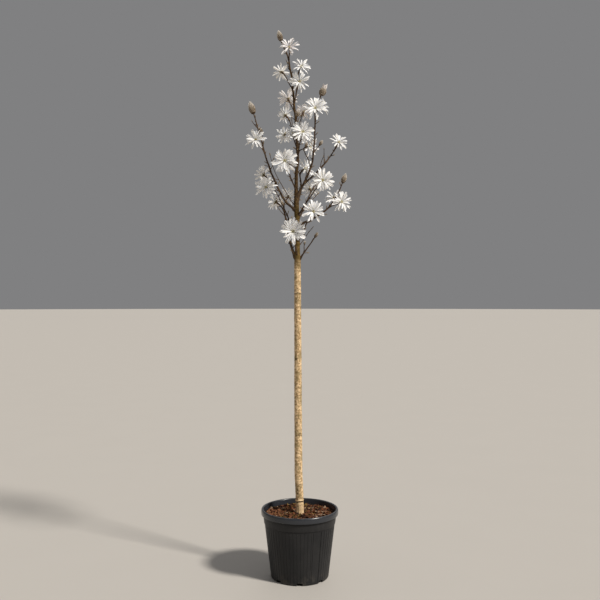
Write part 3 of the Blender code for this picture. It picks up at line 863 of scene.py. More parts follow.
class Shader:
    """A material under its Principled shader, with a method for every kind of node that is used."""

    def __init__(self, name: str) -> None:
        """Start a material.

        Args:
            name: Its name.
        """
        self.material = bpy.data.materials.new(name)
        self.material.use_nodes = True
        self.tree = self.material.node_tree
        self.surface = self.tree.nodes["Principled BSDF"]
        self.place = self.node("ShaderNodeTexCoord").outputs["Object"]

    def node(self, kind: str, settings: dict | None = None, inputs: dict | None = None) -> bpy.types.Node:
        """Add a node.

        Args:
            kind: Its type.
            settings: Its properties, which are set first.
            inputs: A number, colour, socket or Value for each input, by name or place.

        Returns:
            The node.
        """
        made = self.tree.nodes.new(kind)
        for key, setting in (settings or {}).items():
            setattr(made, key, setting)
        for key, given in (inputs or {}).items():
            self.feed(made.inputs[key], given)
        return made

    def feed(self, socket: bpy.types.NodeSocket, given: object) -> None:
        """Link a socket, or set it to a number or colour.

        Args:
            socket: The socket.
            given: A Value or socket to link, or what it is set to.
        """
        if isinstance(given, Value):
            given = given.socket
        if isinstance(given, bpy.types.NodeSocket):
            self.tree.links.new(given, socket)
        elif isinstance(given, tuple) and len(given) == 3 and socket.type == "RGBA":
            socket.default_value = (*given, 1.0)
        else:
            socket.default_value = given

    def number(self, kind: str, settings: dict | None = None, inputs: dict | None = None) -> Value:
        """Add a node and wrap its first output."""
        return Value(self, self.node(kind, settings, inputs).outputs[0])

    def grain(
        self, scale: float, stretch: Colour = (1, 1, 1), detail: float = 3.0, seed: float = 0.0
    ) -> Value:
        """Noise on the piece's own coordinates.

        Args:
            scale: Patches in a metre.
            stretch: Factor for each axis.
            detail: Layers of finer noise.
            seed: Shift, so that two noises differ.

        Returns:
            The noise, about 0.5.
        """
        place = {"Vector": self.place, "Location": (seed, seed * 0.7, seed * 1.3), "Scale": stretch}
        vector = self.node("ShaderNodeMapping", {}, place)
        inputs = {"Vector": vector.outputs[0], "Scale": scale, "Detail": detail}
        return self.number("ShaderNodeTexNoise", {}, inputs)

    def attribute(self, name: str) -> Value:
        """A number stored on the mesh's corners."""
        return Value(self, self.node("ShaderNodeAttribute", {"attribute_name": name}).outputs["Fac"])

    def height(self) -> Value:
        """Height above the ground."""
        return Value(self, self.node("ShaderNodeSeparateXYZ", {}, {0: self.place}).outputs["Z"])

    def blend(self, share: Value | float, first: object, second: object) -> bpy.types.NodeSocket:
        """Mix two colours.

        Args:
            share: Share of the second colour.
            first: A colour, or the socket of one.
            second: The other.

        Returns:
            The socket of the mixed colour.
        """
        mixer = self.node("ShaderNodeMix", {"data_type": "RGBA"}, {0: share, 6: first, 7: second})
        return mixer.outputs[2]

    def relief(self, height: Value, distance: float, strength: float = 1.0) -> None:
        """Bump the surface by a height, in which 1 is the distance given."""
        inputs = {"Height": height, "Distance": distance, "Strength": strength}
        self.feed(self.surface.inputs["Normal"], self.node("ShaderNodeBump", {}, inputs).outputs[0])

    def finish(self, **inputs: object) -> bpy.types.Material:
        """Feed the Principled shader.

        Args:
            inputs: What each of its sockets gets, by its name with _ for a space.

        Returns:
            The material.
        """
        for name, given in inputs.items():
            self.feed(self.surface.inputs[name.replace("_", " ").title().replace("Ior", "IOR")], given)
        return self.material


@dataclass(frozen=True)
class PotPlastic:
    """Black moulded plastic, a little dusty, with faint streaks from the mould, painted shade under the rim
    and under the collar's step, and a glossier rim with a bluish painted reflection of the sky.
    """

    name: str = "pot_plastic"
    plastic: Colour = (0.0118, 0.0122, 0.0132)
    worn: Colour = (0.0265, 0.0258, 0.0262)
    # rim: lighter, bluish colour of the rim, a painted reflection of the sky
    rim: Colour = (0.0240, 0.0272, 0.0335)
    # crease: near-black colour of the painted shade under the rim and under the collar's step
    crease: Colour = (0.0030, 0.0030, 0.0034)
    dust: Colour = (0.085, 0.074, 0.062)
    dusty_foot: Span = (0.0, 0.055)
    dusty_lip: Span = (0.262, 0.269)
    # Heights over which the painted shade under the rim and under the collar's step fades in
    rim_shade: Span = (RIM_FOOT - 0.013, RIM_FOOT - 0.003)
    collar_shade: Span = (COLLAR_FOOT - 0.009, COLLAR_FOOT)
    edge: float = 0.001

    def make(self) -> bpy.types.Material:
        """Make the material.

        Returns:
            The material.
        """
        shader = Shader(self.name)
        cloud = shader.grain(9, detail=4)
        streak = shader.grain(55, (1, 1, 0.06), 2, seed=3)
        speck = shader.grain(420, detail=2, seed=5)
        high = shader.height()
        foot = (1 - high.eased(*self.dusty_foot)) * shader.grain(38, detail=4, seed=9).eased(0.42, 0.66)
        lip = high.eased(*self.dusty_lip) * shader.grain(60, detail=3, seed=2).eased(0.48, 0.66)
        settled = (foot * 0.55).larger(lip * 0.30) + speck.eased(0.62, 0.72) * 0.10
        # rolled: the rim, which is glossier and takes the painted sky reflection in its colour
        rolled = high.eased(RIM_FOOT - self.edge, RIM_FOOT + self.edge)
        on_collar = high.eased(COLLAR_FOOT, COLLAR_FOOT + self.edge)
        # Painted shade: darkens the band under the rim and the band just below the collar's step
        shade = high.eased(*self.rim_shade) * 0.92 + high.eased(*self.collar_shade) * (1 - on_collar) * 0.7
        wear = cloud.eased(0.35, 0.70) * 0.6 + streak.eased(0.5, 0.75) * 0.4
        colour = shader.blend(wear, self.plastic, self.worn)
        # Lay over the painted shade, then the rim's bluish painted sky reflection, then the dust
        for share, tone in ((shade, self.crease), (rolled, self.rim), (settled, self.dust)):
            colour = shader.blend(share, colour, tone)
        shader.relief(speck * 0.5 + streak * 0.5, 0.00012)
        return shader.finish(
            base_color=colour,
            roughness=0.40 + cloud * 0.14 + settled * 0.4 - rolled * 0.20,
            specular_ior_level=0.27,
            coat_weight=rolled * 0.5,
            coat_roughness=0.24,
        )


@dataclass(frozen=True)
class Mulch:
    """Composted bark of one tone, with a fibrous grain."""

    name: str
    tone: Colour
    shade: float = 0.45

    def make(self) -> bpy.types.Material:
        """Make the material.

        Returns:
            The material.
        """
        shader = Shader(self.name)
        fibre = shader.grain(900, (1, 0.35, 0.6), 3)
        pore = shader.grain(260, detail=3, seed=4)
        dark = tuple(part * self.shade for part in self.tone)
        shader.relief(fibre, 0.0004, 0.8)
        colour = shader.blend(fibre.eased(0.35, 0.65) * 0.6 + pore.eased(0.45, 0.7) * 0.4, dark, self.tone)
        return shader.finish(base_color=colour, roughness=0.82 + fibre * 0.15, specular_ior_level=0.25)


@dataclass(frozen=True)
class TrunkBark:
    """Tan bark with a grey-green mottle and dark cross bands, olive and then brown up the leader."""

    name: str = "trunk_bark"
    tan: Colour = (0.41, 0.262, 0.118)
    pale: Colour = (0.90, 0.665, 0.395)
    lichen: Colour = (0.185, 0.140, 0.050)
    crack: Colour = (0.048, 0.027, 0.011)
    olive: Colour = (0.102, 0.064, 0.012)
    brown: Colour = (0.046, 0.024, 0.006)
    foot_ends: Span = (0.290, 0.300)
    stem_ends: Span = (1.195, 1.265)
    olive_ends: Span = (1.42, 1.50)

    def make(self) -> bpy.types.Material:
        """Make the material.

        Returns:
            The material.
        """
        shader = Shader(self.name)
        high = shader.height()
        mottle = shader.grain(150, (1, 1, 0.8), 5)
        patch = shader.grain(48, (1, 1, 0.6), 5, seed=6)
        hatch = shader.grain(520, (0.5, 0.5, 1.6), 3, seed=2)
        streak = shader.grain(700, (1, 1, 0.06), 2, seed=8)
        young = high.eased(*self.stem_ends)
        foot = 1 - high.eased(*self.foot_ends)
        leader = shader.blend(high.eased(*self.olive_ends), self.olive, self.brown)
        leader = shader.blend(mottle.eased(0.46, 0.72) * 0.26, leader, self.tan)
        colour = shader.blend(mottle.eased(0.36, 0.62), self.tan, self.pale)
        for share, tone in (
            (patch.eased(0.46, 0.66) * 0.62, self.lichen),
            (foot * 0.72, self.pale),
            (foot * streak.eased(0.44, 0.62) * 0.55, self.tan),
            (young, leader),
            (hatch.eased(0.54, 0.70) * 0.45, self.crack),
            (shader.attribute("pale") * (1 - young * 0.6), self.pale),
            (shader.attribute("dark"), self.crack),
        ):
            colour = shader.blend(share, colour, tone)
        shader.relief(hatch + mottle * 0.6, 0.0006, 0.7)
        return shader.finish(base_color=colour, roughness=0.66 + mottle * 0.25, specular_ior_level=0.22)


@dataclass(frozen=True)
class TwigBark:
    """Smooth young bark with pale pores."""

    name: str
    bark: Colour
    light: Colour
    pore: Colour = (0.24, 0.17, 0.105)

    def make(self) -> bpy.types.Material:
        """Make the material.

        Returns:
            The material.
        """
        shader = Shader(self.name)
        patch = shader.grain(85, detail=4)
        fleck = shader.grain(680, (1, 1, 0.7), 1, seed=3)
        hatch = shader.grain(1100, detail=2, seed=7)
        colour = shader.blend(patch.eased(0.38, 0.68), self.bark, self.light)
        colour = shader.blend(fleck.eased(0.66, 0.72) * 0.6, colour, self.pore)
        shader.relief(patch * 0.5 + fleck.eased(0.6, 0.75) + hatch * 0.4, 0.0004, 0.8)
        return shader.finish(base_color=colour, roughness=0.52 + patch * 0.25, specular_ior_level=0.28)


@dataclass(frozen=True)
class TepalSkin:
    """Silky tepal of one plain tone, which lets a little light through."""

    name: str
    tone: Colour

    def make(self) -> bpy.types.Material:
        """Make the material.

        Returns:
            The material.
        """
        shader = Shader(self.name)
        silk = shader.grain(1500, detail=2)
        cooler = tuple(part * 0.965 for part in self.tone)
        shader.relief(silk, 0.00006, 0.5)
        shader.finish(subsurface_weight=0.22, subsurface_scale=0.0012, subsurface_radius=(1.0, 0.9, 0.75))
        return shader.finish(
            base_color=shader.blend(silk.eased(0.35, 0.65), self.tone, cooler),
            roughness=0.46 + silk * 0.12,
            specular_ior_level=0.35,
            sheen_weight=0.08,
        )


@dataclass(frozen=True)
class Tissue:
    """Any other soft part of the plant: stamens, pistils, scales, fur, buds and moss."""

    name: str
    tone: Colour
    fleck: Colour
    scale: float = 900
    rough: float = 0.6

    def make(self) -> bpy.types.Material:
        """Make the material.

        Returns:
            The material.
        """
        shader = Shader(self.name)
        grain = shader.grain(self.scale, detail=3)
        shader.relief(grain, 0.0002, 0.6)
        return shader.finish(
            base_color=shader.blend(grain.eased(0.38, 0.68), self.tone, self.fleck),
            roughness=self.rough + grain * 0.15,
            specular_ior_level=0.3,
        )


@dataclass(frozen=True)
class StudioPaint:
    """Matt paint of the studio's floor."""

    name: str = "studio_floor"
    tone: Colour = (0.56, 0.53, 0.49)

    def make(self) -> bpy.types.Material:
        """Make the material.

        Returns:
            The material.
        """
        shader = Shader(self.name)
        grain = shader.grain(3, detail=4)
        worn = tuple(part * 0.97 for part in self.tone)
        return shader.finish(base_color=shader.blend(grain, self.tone, worn), roughness=0.85)


# Modelling


class Kind(Enum):
    """What an edit picks."""

    CORNER = "VERT"
    EDGE = "EDGE"
    FACE = "FACE"


def primitive(add: Callable, name: str, **settings: object) -> bpy.types.Object:
    """Add a primitive, with nothing else selected, and apply its place.

    Args:
        add: The operator that adds it.
        name: The piece's name.
        settings: The operator's settings.

    Returns:
        The piece.
    """
    bpy.ops.object.select_all(action="DESELECT")
    add(**settings)
    piece = bpy.context.object
    piece.name = name
    piece.data.name = name
    bpy.ops.object.transform_apply(location=True, rotation=True, scale=True)
    return piece


def alone(piece: bpy.types.Object) -> None:
    """Make a piece the only one selected, and active.

    Args:
        piece: The piece.
    """
    bpy.ops.object.select_all(action="DESELECT")
    piece.select_set(True)
    bpy.context.view_layer.objects.active = piece


@contextmanager
def editing(piece: bpy.types.Object) -> Iterator[None]:
    """Edit a piece's mesh, with nothing of it selected at first.

    Args:
        piece: The piece.
    """
    alone(piece)
    bpy.ops.object.mode_set(mode="EDIT")
    bpy.ops.mesh.select_all(action="DESELECT")
    yield
    bpy.ops.object.mode_set(mode="OBJECT")


def pick(piece: bpy.types.Object, kind: Kind, test: Callable[[Vector], bool]) -> None:
    """Select the corners, edges or faces of a piece in edit mode.

    Args:
        piece: The piece.
        kind: What is picked.
        test: Whether one whose centre is at a place is picked.
    """
    bpy.ops.mesh.select_mode(type=kind.value)
    bpy.ops.mesh.select_all(action="DESELECT")
    shape = bmesh.from_edit_mesh(piece.data)
    for item in {Kind.CORNER: shape.verts, Kind.EDGE: shape.edges, Kind.FACE: shape.faces}[kind]:
        corners = [item] if kind is Kind.CORNER else item.verts
        centre = sum((corner.co for corner in corners), Vector()) / len(corners)
        item.select = test(centre)
    shape.select_flush_mode()
    bmesh.update_edit_mesh(piece.data)


def grow_ring(rise: float, factor: float) -> None:
    """Extrude the selected edges upwards, and resize them about the upright axis."""
    bpy.ops.mesh.extrude_edges_move(TRANSFORM_OT_translate={"value": (0, 0, rise)})
    bpy.ops.transform.resize(value=(factor, factor, 1), center_override=(0, 0, 0))


def push_faces(value: float) -> None:
    """Extrude the selected faces along their normals."""
    bpy.ops.mesh.extrude_region_shrink_fatten(TRANSFORM_OT_shrink_fatten={"value": value})


def turn_outwards() -> None:
    """Turn the faces of the whole mesh outwards."""
    bpy.ops.mesh.select_all(action="SELECT")
    bpy.ops.mesh.normals_make_consistent(inside=False)


def apply_modifiers(piece: bpy.types.Object) -> None:
    """Apply every modifier of a piece.

    Args:
        piece: The piece.
    """
    alone(piece)
    for modifier in list(piece.modifiers):
        bpy.ops.object.modifier_apply(modifier=modifier.name)


def smooth(piece: bpy.types.Object, crease: float) -> None:
    """Shade a piece smooth but for edges past an angle in degrees."""
    alone(piece)
    bpy.ops.object.shade_smooth_by_angle(angle=math.radians(crease))


def stood(name: str, data: bpy.types.ID) -> bpy.types.Object:
    """Put a mesh, curve, light or camera into the scene.

    Args:
        name: The object's name.
        data: What it holds.

    Returns:
        The object.
    """
    piece = bpy.data.objects.new(name, data)
    bpy.context.scene.collection.objects.link(piece)
    return piece


def moved(corners: np.ndarray, matrix: Matrix) -> np.ndarray:
    """Corners moved by a matrix."""
    turned = np.array(matrix)
    return corners @ turned[:3, :3].T + turned[:3, 3]


def numbers(items: bpy.types.bpy_prop_collection, key: str, kind: type, width: int = 1) -> np.ndarray:
    """Read a property of every corner, turn or face of a mesh.

    Args:
        items: The corners, turns or faces.
        key: The property.
        kind: The type of its numbers.
        width: How many numbers it has.

    Returns:
        The numbers in a row.
    """
    values = np.empty(len(items) * width, kind)
    items.foreach_get(key, values)
    return values


@dataclass
class Mould:
    """A small mesh that is modelled once and copied many times.

    Corners is a row for each corner, loops the corner of each face's turns, sizes how many turns each
    face has, and zones the finish of each face.
    """

    corners: np.ndarray
    loops: np.ndarray
    sizes: np.ndarray
    zones: np.ndarray

    @classmethod
    def taken(cls, piece: bpy.types.Object) -> "Mould":
        """Take the mesh of a modelled piece, which is then removed.

        Blender orders new faces anew in each run. They are sorted here, so that what is drawn over them
        comes out the same.

        Args:
            piece: The piece.

        Returns:
            The mould.
        """
        mesh = piece.data
        corners = numbers(mesh.vertices, "co", np.float32, 3).reshape(-1, 3).astype(float)
        loops = numbers(mesh.loops, "vertex_index", np.int32)
        sizes = numbers(mesh.polygons, "loop_total", np.int32)
        zones = numbers(mesh.polygons, "material_index", np.int32)
        bpy.data.objects.remove(piece)
        bpy.data.meshes.remove(mesh)
        faces = np.split(loops, np.cumsum(sizes)[:-1])
        order = sorted(range(len(faces)), key=lambda index: faces[index].tolist())
        return cls(corners, np.concatenate([faces[index] for index in order]), sizes[order], zones[order])


class Cluster:
    """Many copies of moulds, joined into one mesh."""

    def __init__(self, name: str) -> None:
        """Start an empty cluster.

        Args:
            name: The name of the piece that it becomes.
        """
        self.name = name
        self.corners: list[np.ndarray] = []
        self.loops: list[np.ndarray] = []
        self.sizes: list[np.ndarray] = []
        self.zones: list[np.ndarray] = []
        self.count = 0

    def add(self, mould: Mould, corners: np.ndarray, zone: int = 0) -> None:
        """Add a copy of a mould.

        Args:
            mould: The mould.
            corners: Where the copy's corners are.
            zone: Number that is added to the finish of each face.
        """
        self.corners.append(corners)
        self.loops.append(mould.loops + self.count)
        self.sizes.append(mould.sizes)
        self.zones.append(mould.zones + zone)
        self.count += len(corners)

    def place(self, mould: Mould, matrix: Matrix, zone: int = 0) -> None:
        """Add a copy of a mould, moved by a matrix."""
        self.add(mould, moved(mould.corners, matrix), zone)

    def joined(self, finishes: Sequence[bpy.types.Material], crease: float = 40) -> bpy.types.Object:
        """Make the piece.

        Args:
            finishes: The materials that the faces' zones number.
            crease: Degrees past which an edge stays sharp.

        Returns:
            The piece.
        """
        mesh = bpy.data.meshes.new(self.name)
        corners = np.concatenate(self.corners).astype(np.float32)
        loops = np.concatenate(self.loops).astype(np.int32)
        sizes = np.concatenate(self.sizes).astype(np.int32)
        mesh.vertices.add(len(corners))
        mesh.vertices.foreach_set("co", corners.ravel())
        mesh.loops.add(len(loops))
        mesh.loops.foreach_set("vertex_index", loops)
        mesh.polygons.add(len(sizes))
        starts = np.concatenate(([0], np.cumsum(sizes)[:-1])).astype(np.int32)
        mesh.polygons.foreach_set("loop_start", starts)
        mesh.polygons.foreach_set("material_index", np.concatenate(self.zones).astype(np.int32))
        mesh.update(calc_edges=True)
        mesh.validate()
        piece = stood(self.name, mesh)
        for finish in finishes:
            mesh.materials.append(finish)
        smooth(piece, crease)
        return piece


def sleeve(name: str, rings: np.ndarray, marks: dict[str, np.ndarray]) -> bpy.types.Object:
    """Closed tube through rings of points: a grid that is rolled round and sealed at its ends.

    Args:
        name: Its name.
        rings: For each ring and each column a point, with the last column on the first.
        marks: Numbers for each point that the finish reads, by name.

    Returns:
        The tube.
    """
    rows, columns = rings.shape[:2]
    piece = primitive(
        bpy.ops.mesh.primitive_grid_add, name, x_subdivisions=columns - 1, y_subdivisions=rows - 1, size=1
    )
    piece.data.vertices.foreach_set("co", rings.astype(np.float32).ravel())
    for mark, values in marks.items():
        layer = piece.data.attributes.new(mark, "FLOAT", "POINT")
        layer.data.foreach_set("value", values.astype(np.float32).ravel())
    with editing(piece):
        bpy.ops.mesh.select_all(action="SELECT")
        bpy.ops.mesh.remove_doubles(threshold=0.00001)
        bpy.ops.mesh.select_all(action="SELECT")
        bpy.ops.mesh.fill_holes(sides=0)
        turn_outwards()
    return piece


def deliver(piece: bpy.types.Object, slot: str, *nodes: str) -> bpy.types.Object:
    """Set a finished piece on the plant.

    Args:
        piece: The piece.
        slot: A material slot's name, which is not used.
        nodes: The solids that it stands for.

    Returns:
        The piece.
    """
    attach(piece, BODY)
    if nodes:
        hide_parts(*nodes)
    LOG.info("%s: %d faces", piece.name, len(piece.data.polygons))
    return piece


def bent(corners: np.ndarray, length: float, root_lift: float, tip_lift: float) -> np.ndarray:
    """Bend a straight strip along +X up at its root and over at its tip.

    Args:
        corners: The strip's corners.
        length: Its length.
        root_lift: Rise at its root.
        tip_lift: Rise at its tip.

    Returns:
        The bent corners.
    """
    turn = (root_lift - tip_lift) / length
    lift = root_lift - turn * corners[:, 0]
    across = (math.sin(root_lift) - np.sin(lift)) / turn
    up = (np.cos(lift) - math.cos(root_lift)) / turn
    return np.stack(
        (across - np.sin(lift) * corners[:, 2], corners[:, 1], up + np.cos(lift) * corners[:, 2]), axis=1
    )


def on_end(place: Vector, way: Vector, turn: float = 0.0, size: float = 1.0) -> Matrix:
    """Matrix that stands an upright mould at a place, pointing along a way.

    Args:
        place: Where its foot goes.
        way: The way that it points.
        turn: Radians that it turns about its own axis.
        size: How much larger it gets.

    Returns:
        The matrix.
    """
    upright = way.to_track_quat("Z", "Y").to_matrix().to_4x4()
    return Matrix.Translation(place) @ upright @ Matrix.Rotation(turn, 4, "Z") @ Matrix.Scale(size, 4)


# Sub-assemblies


def wall_radius(height: float) -> float:
    """Outer radius of the pot's plain wall at a height."""
    return BASE_RADIUS + WALL_SLOPE * height


@dataclass
class Pot:
    """Black nursery pot: ribbed wall with grooved panels, stepped collar, rolled rim and drainage slots."""

    columns: int = 240
    rib_every: int = 4
    rib_height: float = 0.0008
    rib_foot: float = 0.010
    rib_top: float = COLLAR_FOOT - 0.006
    panels: tuple[Span, ...] = ((24, 37.5), (204, 217.5))
    panel_lift: float = 0.0006
    grooves: tuple[Span, ...] = ((22.5, 24), (37.5, 39), (202.5, 204), (217.5, 219))
    groove_depth: float = 0.0012
    slot_round: float = 0.0015
    bead_height: float = 0.0095
    bead_steps: int = 6
    inner_ring: float = 0.200

    def build(self) -> None:
        """Model the pot."""
        radius, height = BASE_RADIUS - FOOT_CHAMFER, 0.0
        add = bpy.ops.mesh.primitive_circle_add
        pot = primitive(add, "pot_shell", vertices=self.columns, radius=radius, fill_type="NGON")
        with editing(pot):
            pick(pot, Kind.EDGE, lambda centre: True)
            for next_radius, next_height in self._profile():
                grow_ring(next_height - height, next_radius / radius)
                radius, height = next_radius, next_height
            bpy.ops.mesh.edge_face_add()
            self._raise_ribs(pot)
            self._raise_panels(pot)
            turn_outwards()
        self._cut_slots(pot)
        smooth(pot, 35)
        self.dress(pot)

    def _profile(self) -> list[Span]:
        """Section of the pot.

        Returns:
            Radius and height of each ring, up the outside, over the rim and down the inside.
        """
        top = POT_HEIGHT - RIM_ROUND
        outer, inner = RIM_RADIUS - RIM_ROUND, RIM_RADIUS - RIM_WIDTH + RIM_ROUND
        outside = [
            (wall_radius(FOOT_CHAMFER * 0.3) - FOOT_CHAMFER * 0.42, FOOT_CHAMFER * 0.30),
            (wall_radius(FOOT_CHAMFER), FOOT_CHAMFER),
            (wall_radius(self.rib_foot), self.rib_foot),
            (wall_radius(self.rib_top), self.rib_top),
            (wall_radius(COLLAR_FOOT) - 0.0006, COLLAR_FOOT - COLLAR_STEP),
            (wall_radius(COLLAR_FOOT) + COLLAR_STEP * 0.8, COLLAR_FOOT),
            (wall_radius(COLLAR_FOOT) + COLLAR_STEP, COLLAR_FOOT + 0.0012),
            (wall_radius(RIM_FOOT) + COLLAR_STEP, RIM_FOOT - 0.0004),
            (RIM_RADIUS - 0.0024, RIM_FOOT),
            (RIM_RADIUS - 0.0008, RIM_FOOT + 0.0006),
            (RIM_RADIUS - 0.0002, RIM_FOOT + 0.0026),
            (RIM_RADIUS, RIM_FOOT + 0.0062),
        ]
        angles = [math.radians(90 * i / self.bead_steps) for i in range(self.bead_steps + 1)]
        bead = POT_HEIGHT - self.bead_height
        rim = [(outer + RIM_ROUND * math.cos(a), bead + self.bead_height * math.sin(a)) for a in angles]
        rim += [(inner - RIM_ROUND * math.sin(a), top + RIM_ROUND * math.cos(a)) for a in angles]
        inside = [(wall_radius(high) - WALL, high) for high in (RIM_FOOT, self.inner_ring, WALL)]
        return outside + rim + inside

    def _on_wall(self, centre: Vector) -> bool:
        """Whether a face is on the tall band of the outer wall between the foot and the collar."""
        tall = self.rib_foot < centre.z < self.rib_top
        return tall and Vector(centre.xy).length > wall_radius(centre.z) - WALL / 2

    @staticmethod
    def _azimuth(centre: Vector) -> float:
        """Degrees from the front towards the right, from 0 to 360."""
        return math.degrees(math.atan2(centre.x, -centre.y)) % 360

    @staticmethod
    def _within(azimuth: float, spans: Sequence[Span]) -> bool:
        """Whether a direction is in one of some spans."""
        return any(low < azimuth < high for low, high in spans)

    def _raise_ribs(self, pot: bpy.types.Object) -> None:
        """Push every fourth column of the wall out, but for the panels.

        Args:
            pot: The pot, in edit mode.
        """

        def is_rib(centre: Vector) -> bool:
            """Whether a face is on a rib."""
            azimuth = self._azimuth(centre)
            plain = self._within(azimuth, (*self.panels, *self.grooves))
            column = int(azimuth / (360 / self.columns))
            return self._on_wall(centre) and not plain and column % self.rib_every == 0

        pick(pot, Kind.FACE, is_rib)
        push_faces(self.rib_height)
        bpy.ops.mesh.bevel(offset=self.rib_height * 0.45, segments=1, affect="EDGES")

    def _raise_panels(self, pot: bpy.types.Object) -> None:
        """Push the plain panels out a little, and the grooves beside them in.

        Args:
            pot: The pot, in edit mode.
        """
        for spans, lift in ((self.panels, self.panel_lift), (self.grooves, -self.groove_depth)):
            pick(pot, Kind.FACE, lambda at: self._on_wall(at) and self._within(self._azimuth(at), spans))
            push_faces(lift)

    def _cut_slots(self, pot: bpy.types.Object) -> None:
        """Cut the drainage slots through the foot of the wall.

        Args:
            pot: The pot.
        """
        for index in range(SLOT_COUNT):
            turn = math.radians(-90) + math.tau * index / SLOT_COUNT
            place = (BASE_RADIUS * math.cos(turn), BASE_RADIUS * math.sin(turn), 0)
            settings = {"size": 1, "location": place, "rotation": (0, 0, turn), "scale": SLOT_SIZE}
            slot = primitive(bpy.ops.mesh.primitive_cube_add, "slot", **settings)
            with editing(slot):
                pick(slot, Kind.EDGE, lambda centre: centre.z > SLOT_SIZE[2] * 0.4)
                bpy.ops.mesh.bevel(offset=self.slot_round, segments=3, affect="EDGES")
            cut = pot.modifiers.new("Slot", "BOOLEAN")
            cut.operation = "DIFFERENCE"
            cut.object = slot
            apply_modifiers(pot)
            bpy.data.objects.remove(slot)

    def dress(self, pot: bpy.types.Object) -> None:
        """Give the pot its plastic and set it on the plant.

        Args:
            pot: The pot.
        """
        pot.data.materials.clear()
        pot.data.materials.append(PotPlastic().make())
        deliver(pot, "pot", "pot")


@dataclass
class Compost:
    """Bark compost: a lumpy bed with loose chips, crumbs and a few tufts of moss."""

    rings: int = 28
    bed_drop: float = 0.0026
    lumps: tuple[Place, ...] = ((32, 3, 0.0026), (95, 8, 0.0014))  # in a metre, seed and height
    foot_rise: float = 0.030
    foot_radius: float = 0.092
    trunk_room: float = 0.0168
    chips: int = 1700
    chip_size: Span = (0.004, 0.024)
    chip_lift: float = 0.0022
    crumbs: int = 3400
    crumb_size: Span = (0.002, 0.0055)
    crumb_lift: float = 0.0012
    small_share: float = 1.8
    tilt: float = 24
    ragged: Place = (0.17, 0.17, 0.06)
    tufts: int = 52
    tuft_reach: Span = (0.03, 0.12)
    tuft_size: float = 0.0026
    leaves: int = 26
    leaf_size: Span = (0.004, 0.008)
    tones: tuple[Colour, ...] = (
        (0.200, 0.070, 0.028),
        (0.090, 0.033, 0.015),
        (0.300, 0.125, 0.056),
        (0.030, 0.013, 0.008),
        (0.560, 0.380, 0.250),
        (0.235, 0.145, 0.038),
    )
    shares: tuple[float, ...] = (0.29, 0.25, 0.18, 0.16, 0.06, 0.06)

    def build(self) -> None:
        """Model the bed, the chips and the moss."""
        chance = draws("compost")
        finishes = [Mulch(f"mulch_{index + 1}", tone).make() for index, tone in enumerate(self.tones)]
        self._bed(finishes[1])
        chips = Cluster("bark_chips")
        moulds = [self._chip(index) for index in range(4)]
        for count, sizes, lift in (
            (self.chips, self.chip_size, self.chip_lift),
            (self.crumbs, self.crumb_size, self.crumb_lift),
        ):
            for _ in range(count):
                size = sizes[0] + (sizes[1] - sizes[0]) * chance.random() ** self.small_share
                place = self._spot(chance, lift, size * 0.56)
                tilt = chance.gauss(0, self.tilt), chance.gauss(0, self.tilt), chance.uniform(0, 360)
                turn = Matrix.Rotation(math.radians(tilt[2]), 4, "Z")
                turn @= Matrix.Rotation(math.radians(tilt[0]), 4, "X")
                turn @= Matrix.Rotation(math.radians(tilt[1]), 4, "Y")
                wide, thick = size * chance.uniform(0.35, 0.8), size * chance.uniform(0.6, 1.2)
                zone = chance.choices(range(len(self.tones)), self.shares)[0]
                stand = Matrix.Translation(place) @ turn @ Matrix.Diagonal((size, wide, thick, 1))
                chips.place(chance.choice(moulds), stand, zone)
        deliver(chips.joined(finishes, 30), "compost")
        self._moss(chance)

    def _height(self, x: float, y: float) -> float:
        """Height of the bed at a place.

        Args:
            x: How far the place is to the right.
            y: How far it is to the back.

        Returns:
            The height.
        """
        lump = sum(
            noise.noise(Vector((x * scale, y * scale, seed))) * rise for scale, seed, rise in self.lumps
        )
        edge = min(1.0, math.hypot(x, y) / wall_radius(SOIL_HEIGHT))
        return SOIL_HEIGHT - self.bed_drop - SOIL_FALL * edge * edge + lump

    def _spot(self, chance: random.Random, lift: float, room: float) -> Vector:
        """Draw a place on the bed that is clear of the trunk's foot.

        Args:
            chance: Where it is drawn.
            lift: About how far above the bed it is.
            room: How far it is at least from the wall.

        Returns:
            The place.
        """
        reach = wall_radius(SOIL_HEIGHT) - WALL
        while True:
            x, y = chance.uniform(-reach, reach), chance.uniform(-reach, reach)
            if self.trunk_room < math.hypot(x, y) < reach - room:
                return Vector((x, y, self._height(x, y) + lift * chance.uniform(0.2, 1.4)))

    def _bed(self, finish: bpy.types.Material) -> None:
        """Model a disc of rings, let down to fill the pot, with a lumpy top.

        Args:
            finish: Its material.
        """
        reach = wall_radius(SOIL_HEIGHT) - WALL - GAP * 2
        foot, shoulder = WALL + GAP, WALL + self.foot_rise
        shoulder_radius = wall_radius(shoulder) - WALL - GAP * 2
        settings = {"vertices": 120, "radius": reach, "location": (0, 0, SOIL_HEIGHT)}
        bed = primitive(bpy.ops.mesh.primitive_circle_add, "compost_bed", **settings)
        with editing(bed):
            pick(bed, Kind.EDGE, lambda centre: True)
            for index in range(self.rings, 1, -1):
                grow_ring(0.0, (index - 1) / index)
            bpy.ops.mesh.merge(type="COLLAPSE")
            pick(bed, Kind.EDGE, lambda centre: Vector(centre.xy).length > reach * 0.995)
            grow_ring(shoulder - SOIL_HEIGHT, shoulder_radius / reach)
            grow_ring(foot - shoulder, self.foot_radius / shoulder_radius)
            bpy.ops.mesh.edge_face_add()
            turn_outwards()
        for corner in bed.data.vertices:
            if corner.co.z > SOIL_HEIGHT - 0.01:
                corner.co.z = self._height(corner.co.x, corner.co.y)
        smooth(bed, 60)
        bed.data.materials.append(finish)
        deliver(bed, "compost", "compost")

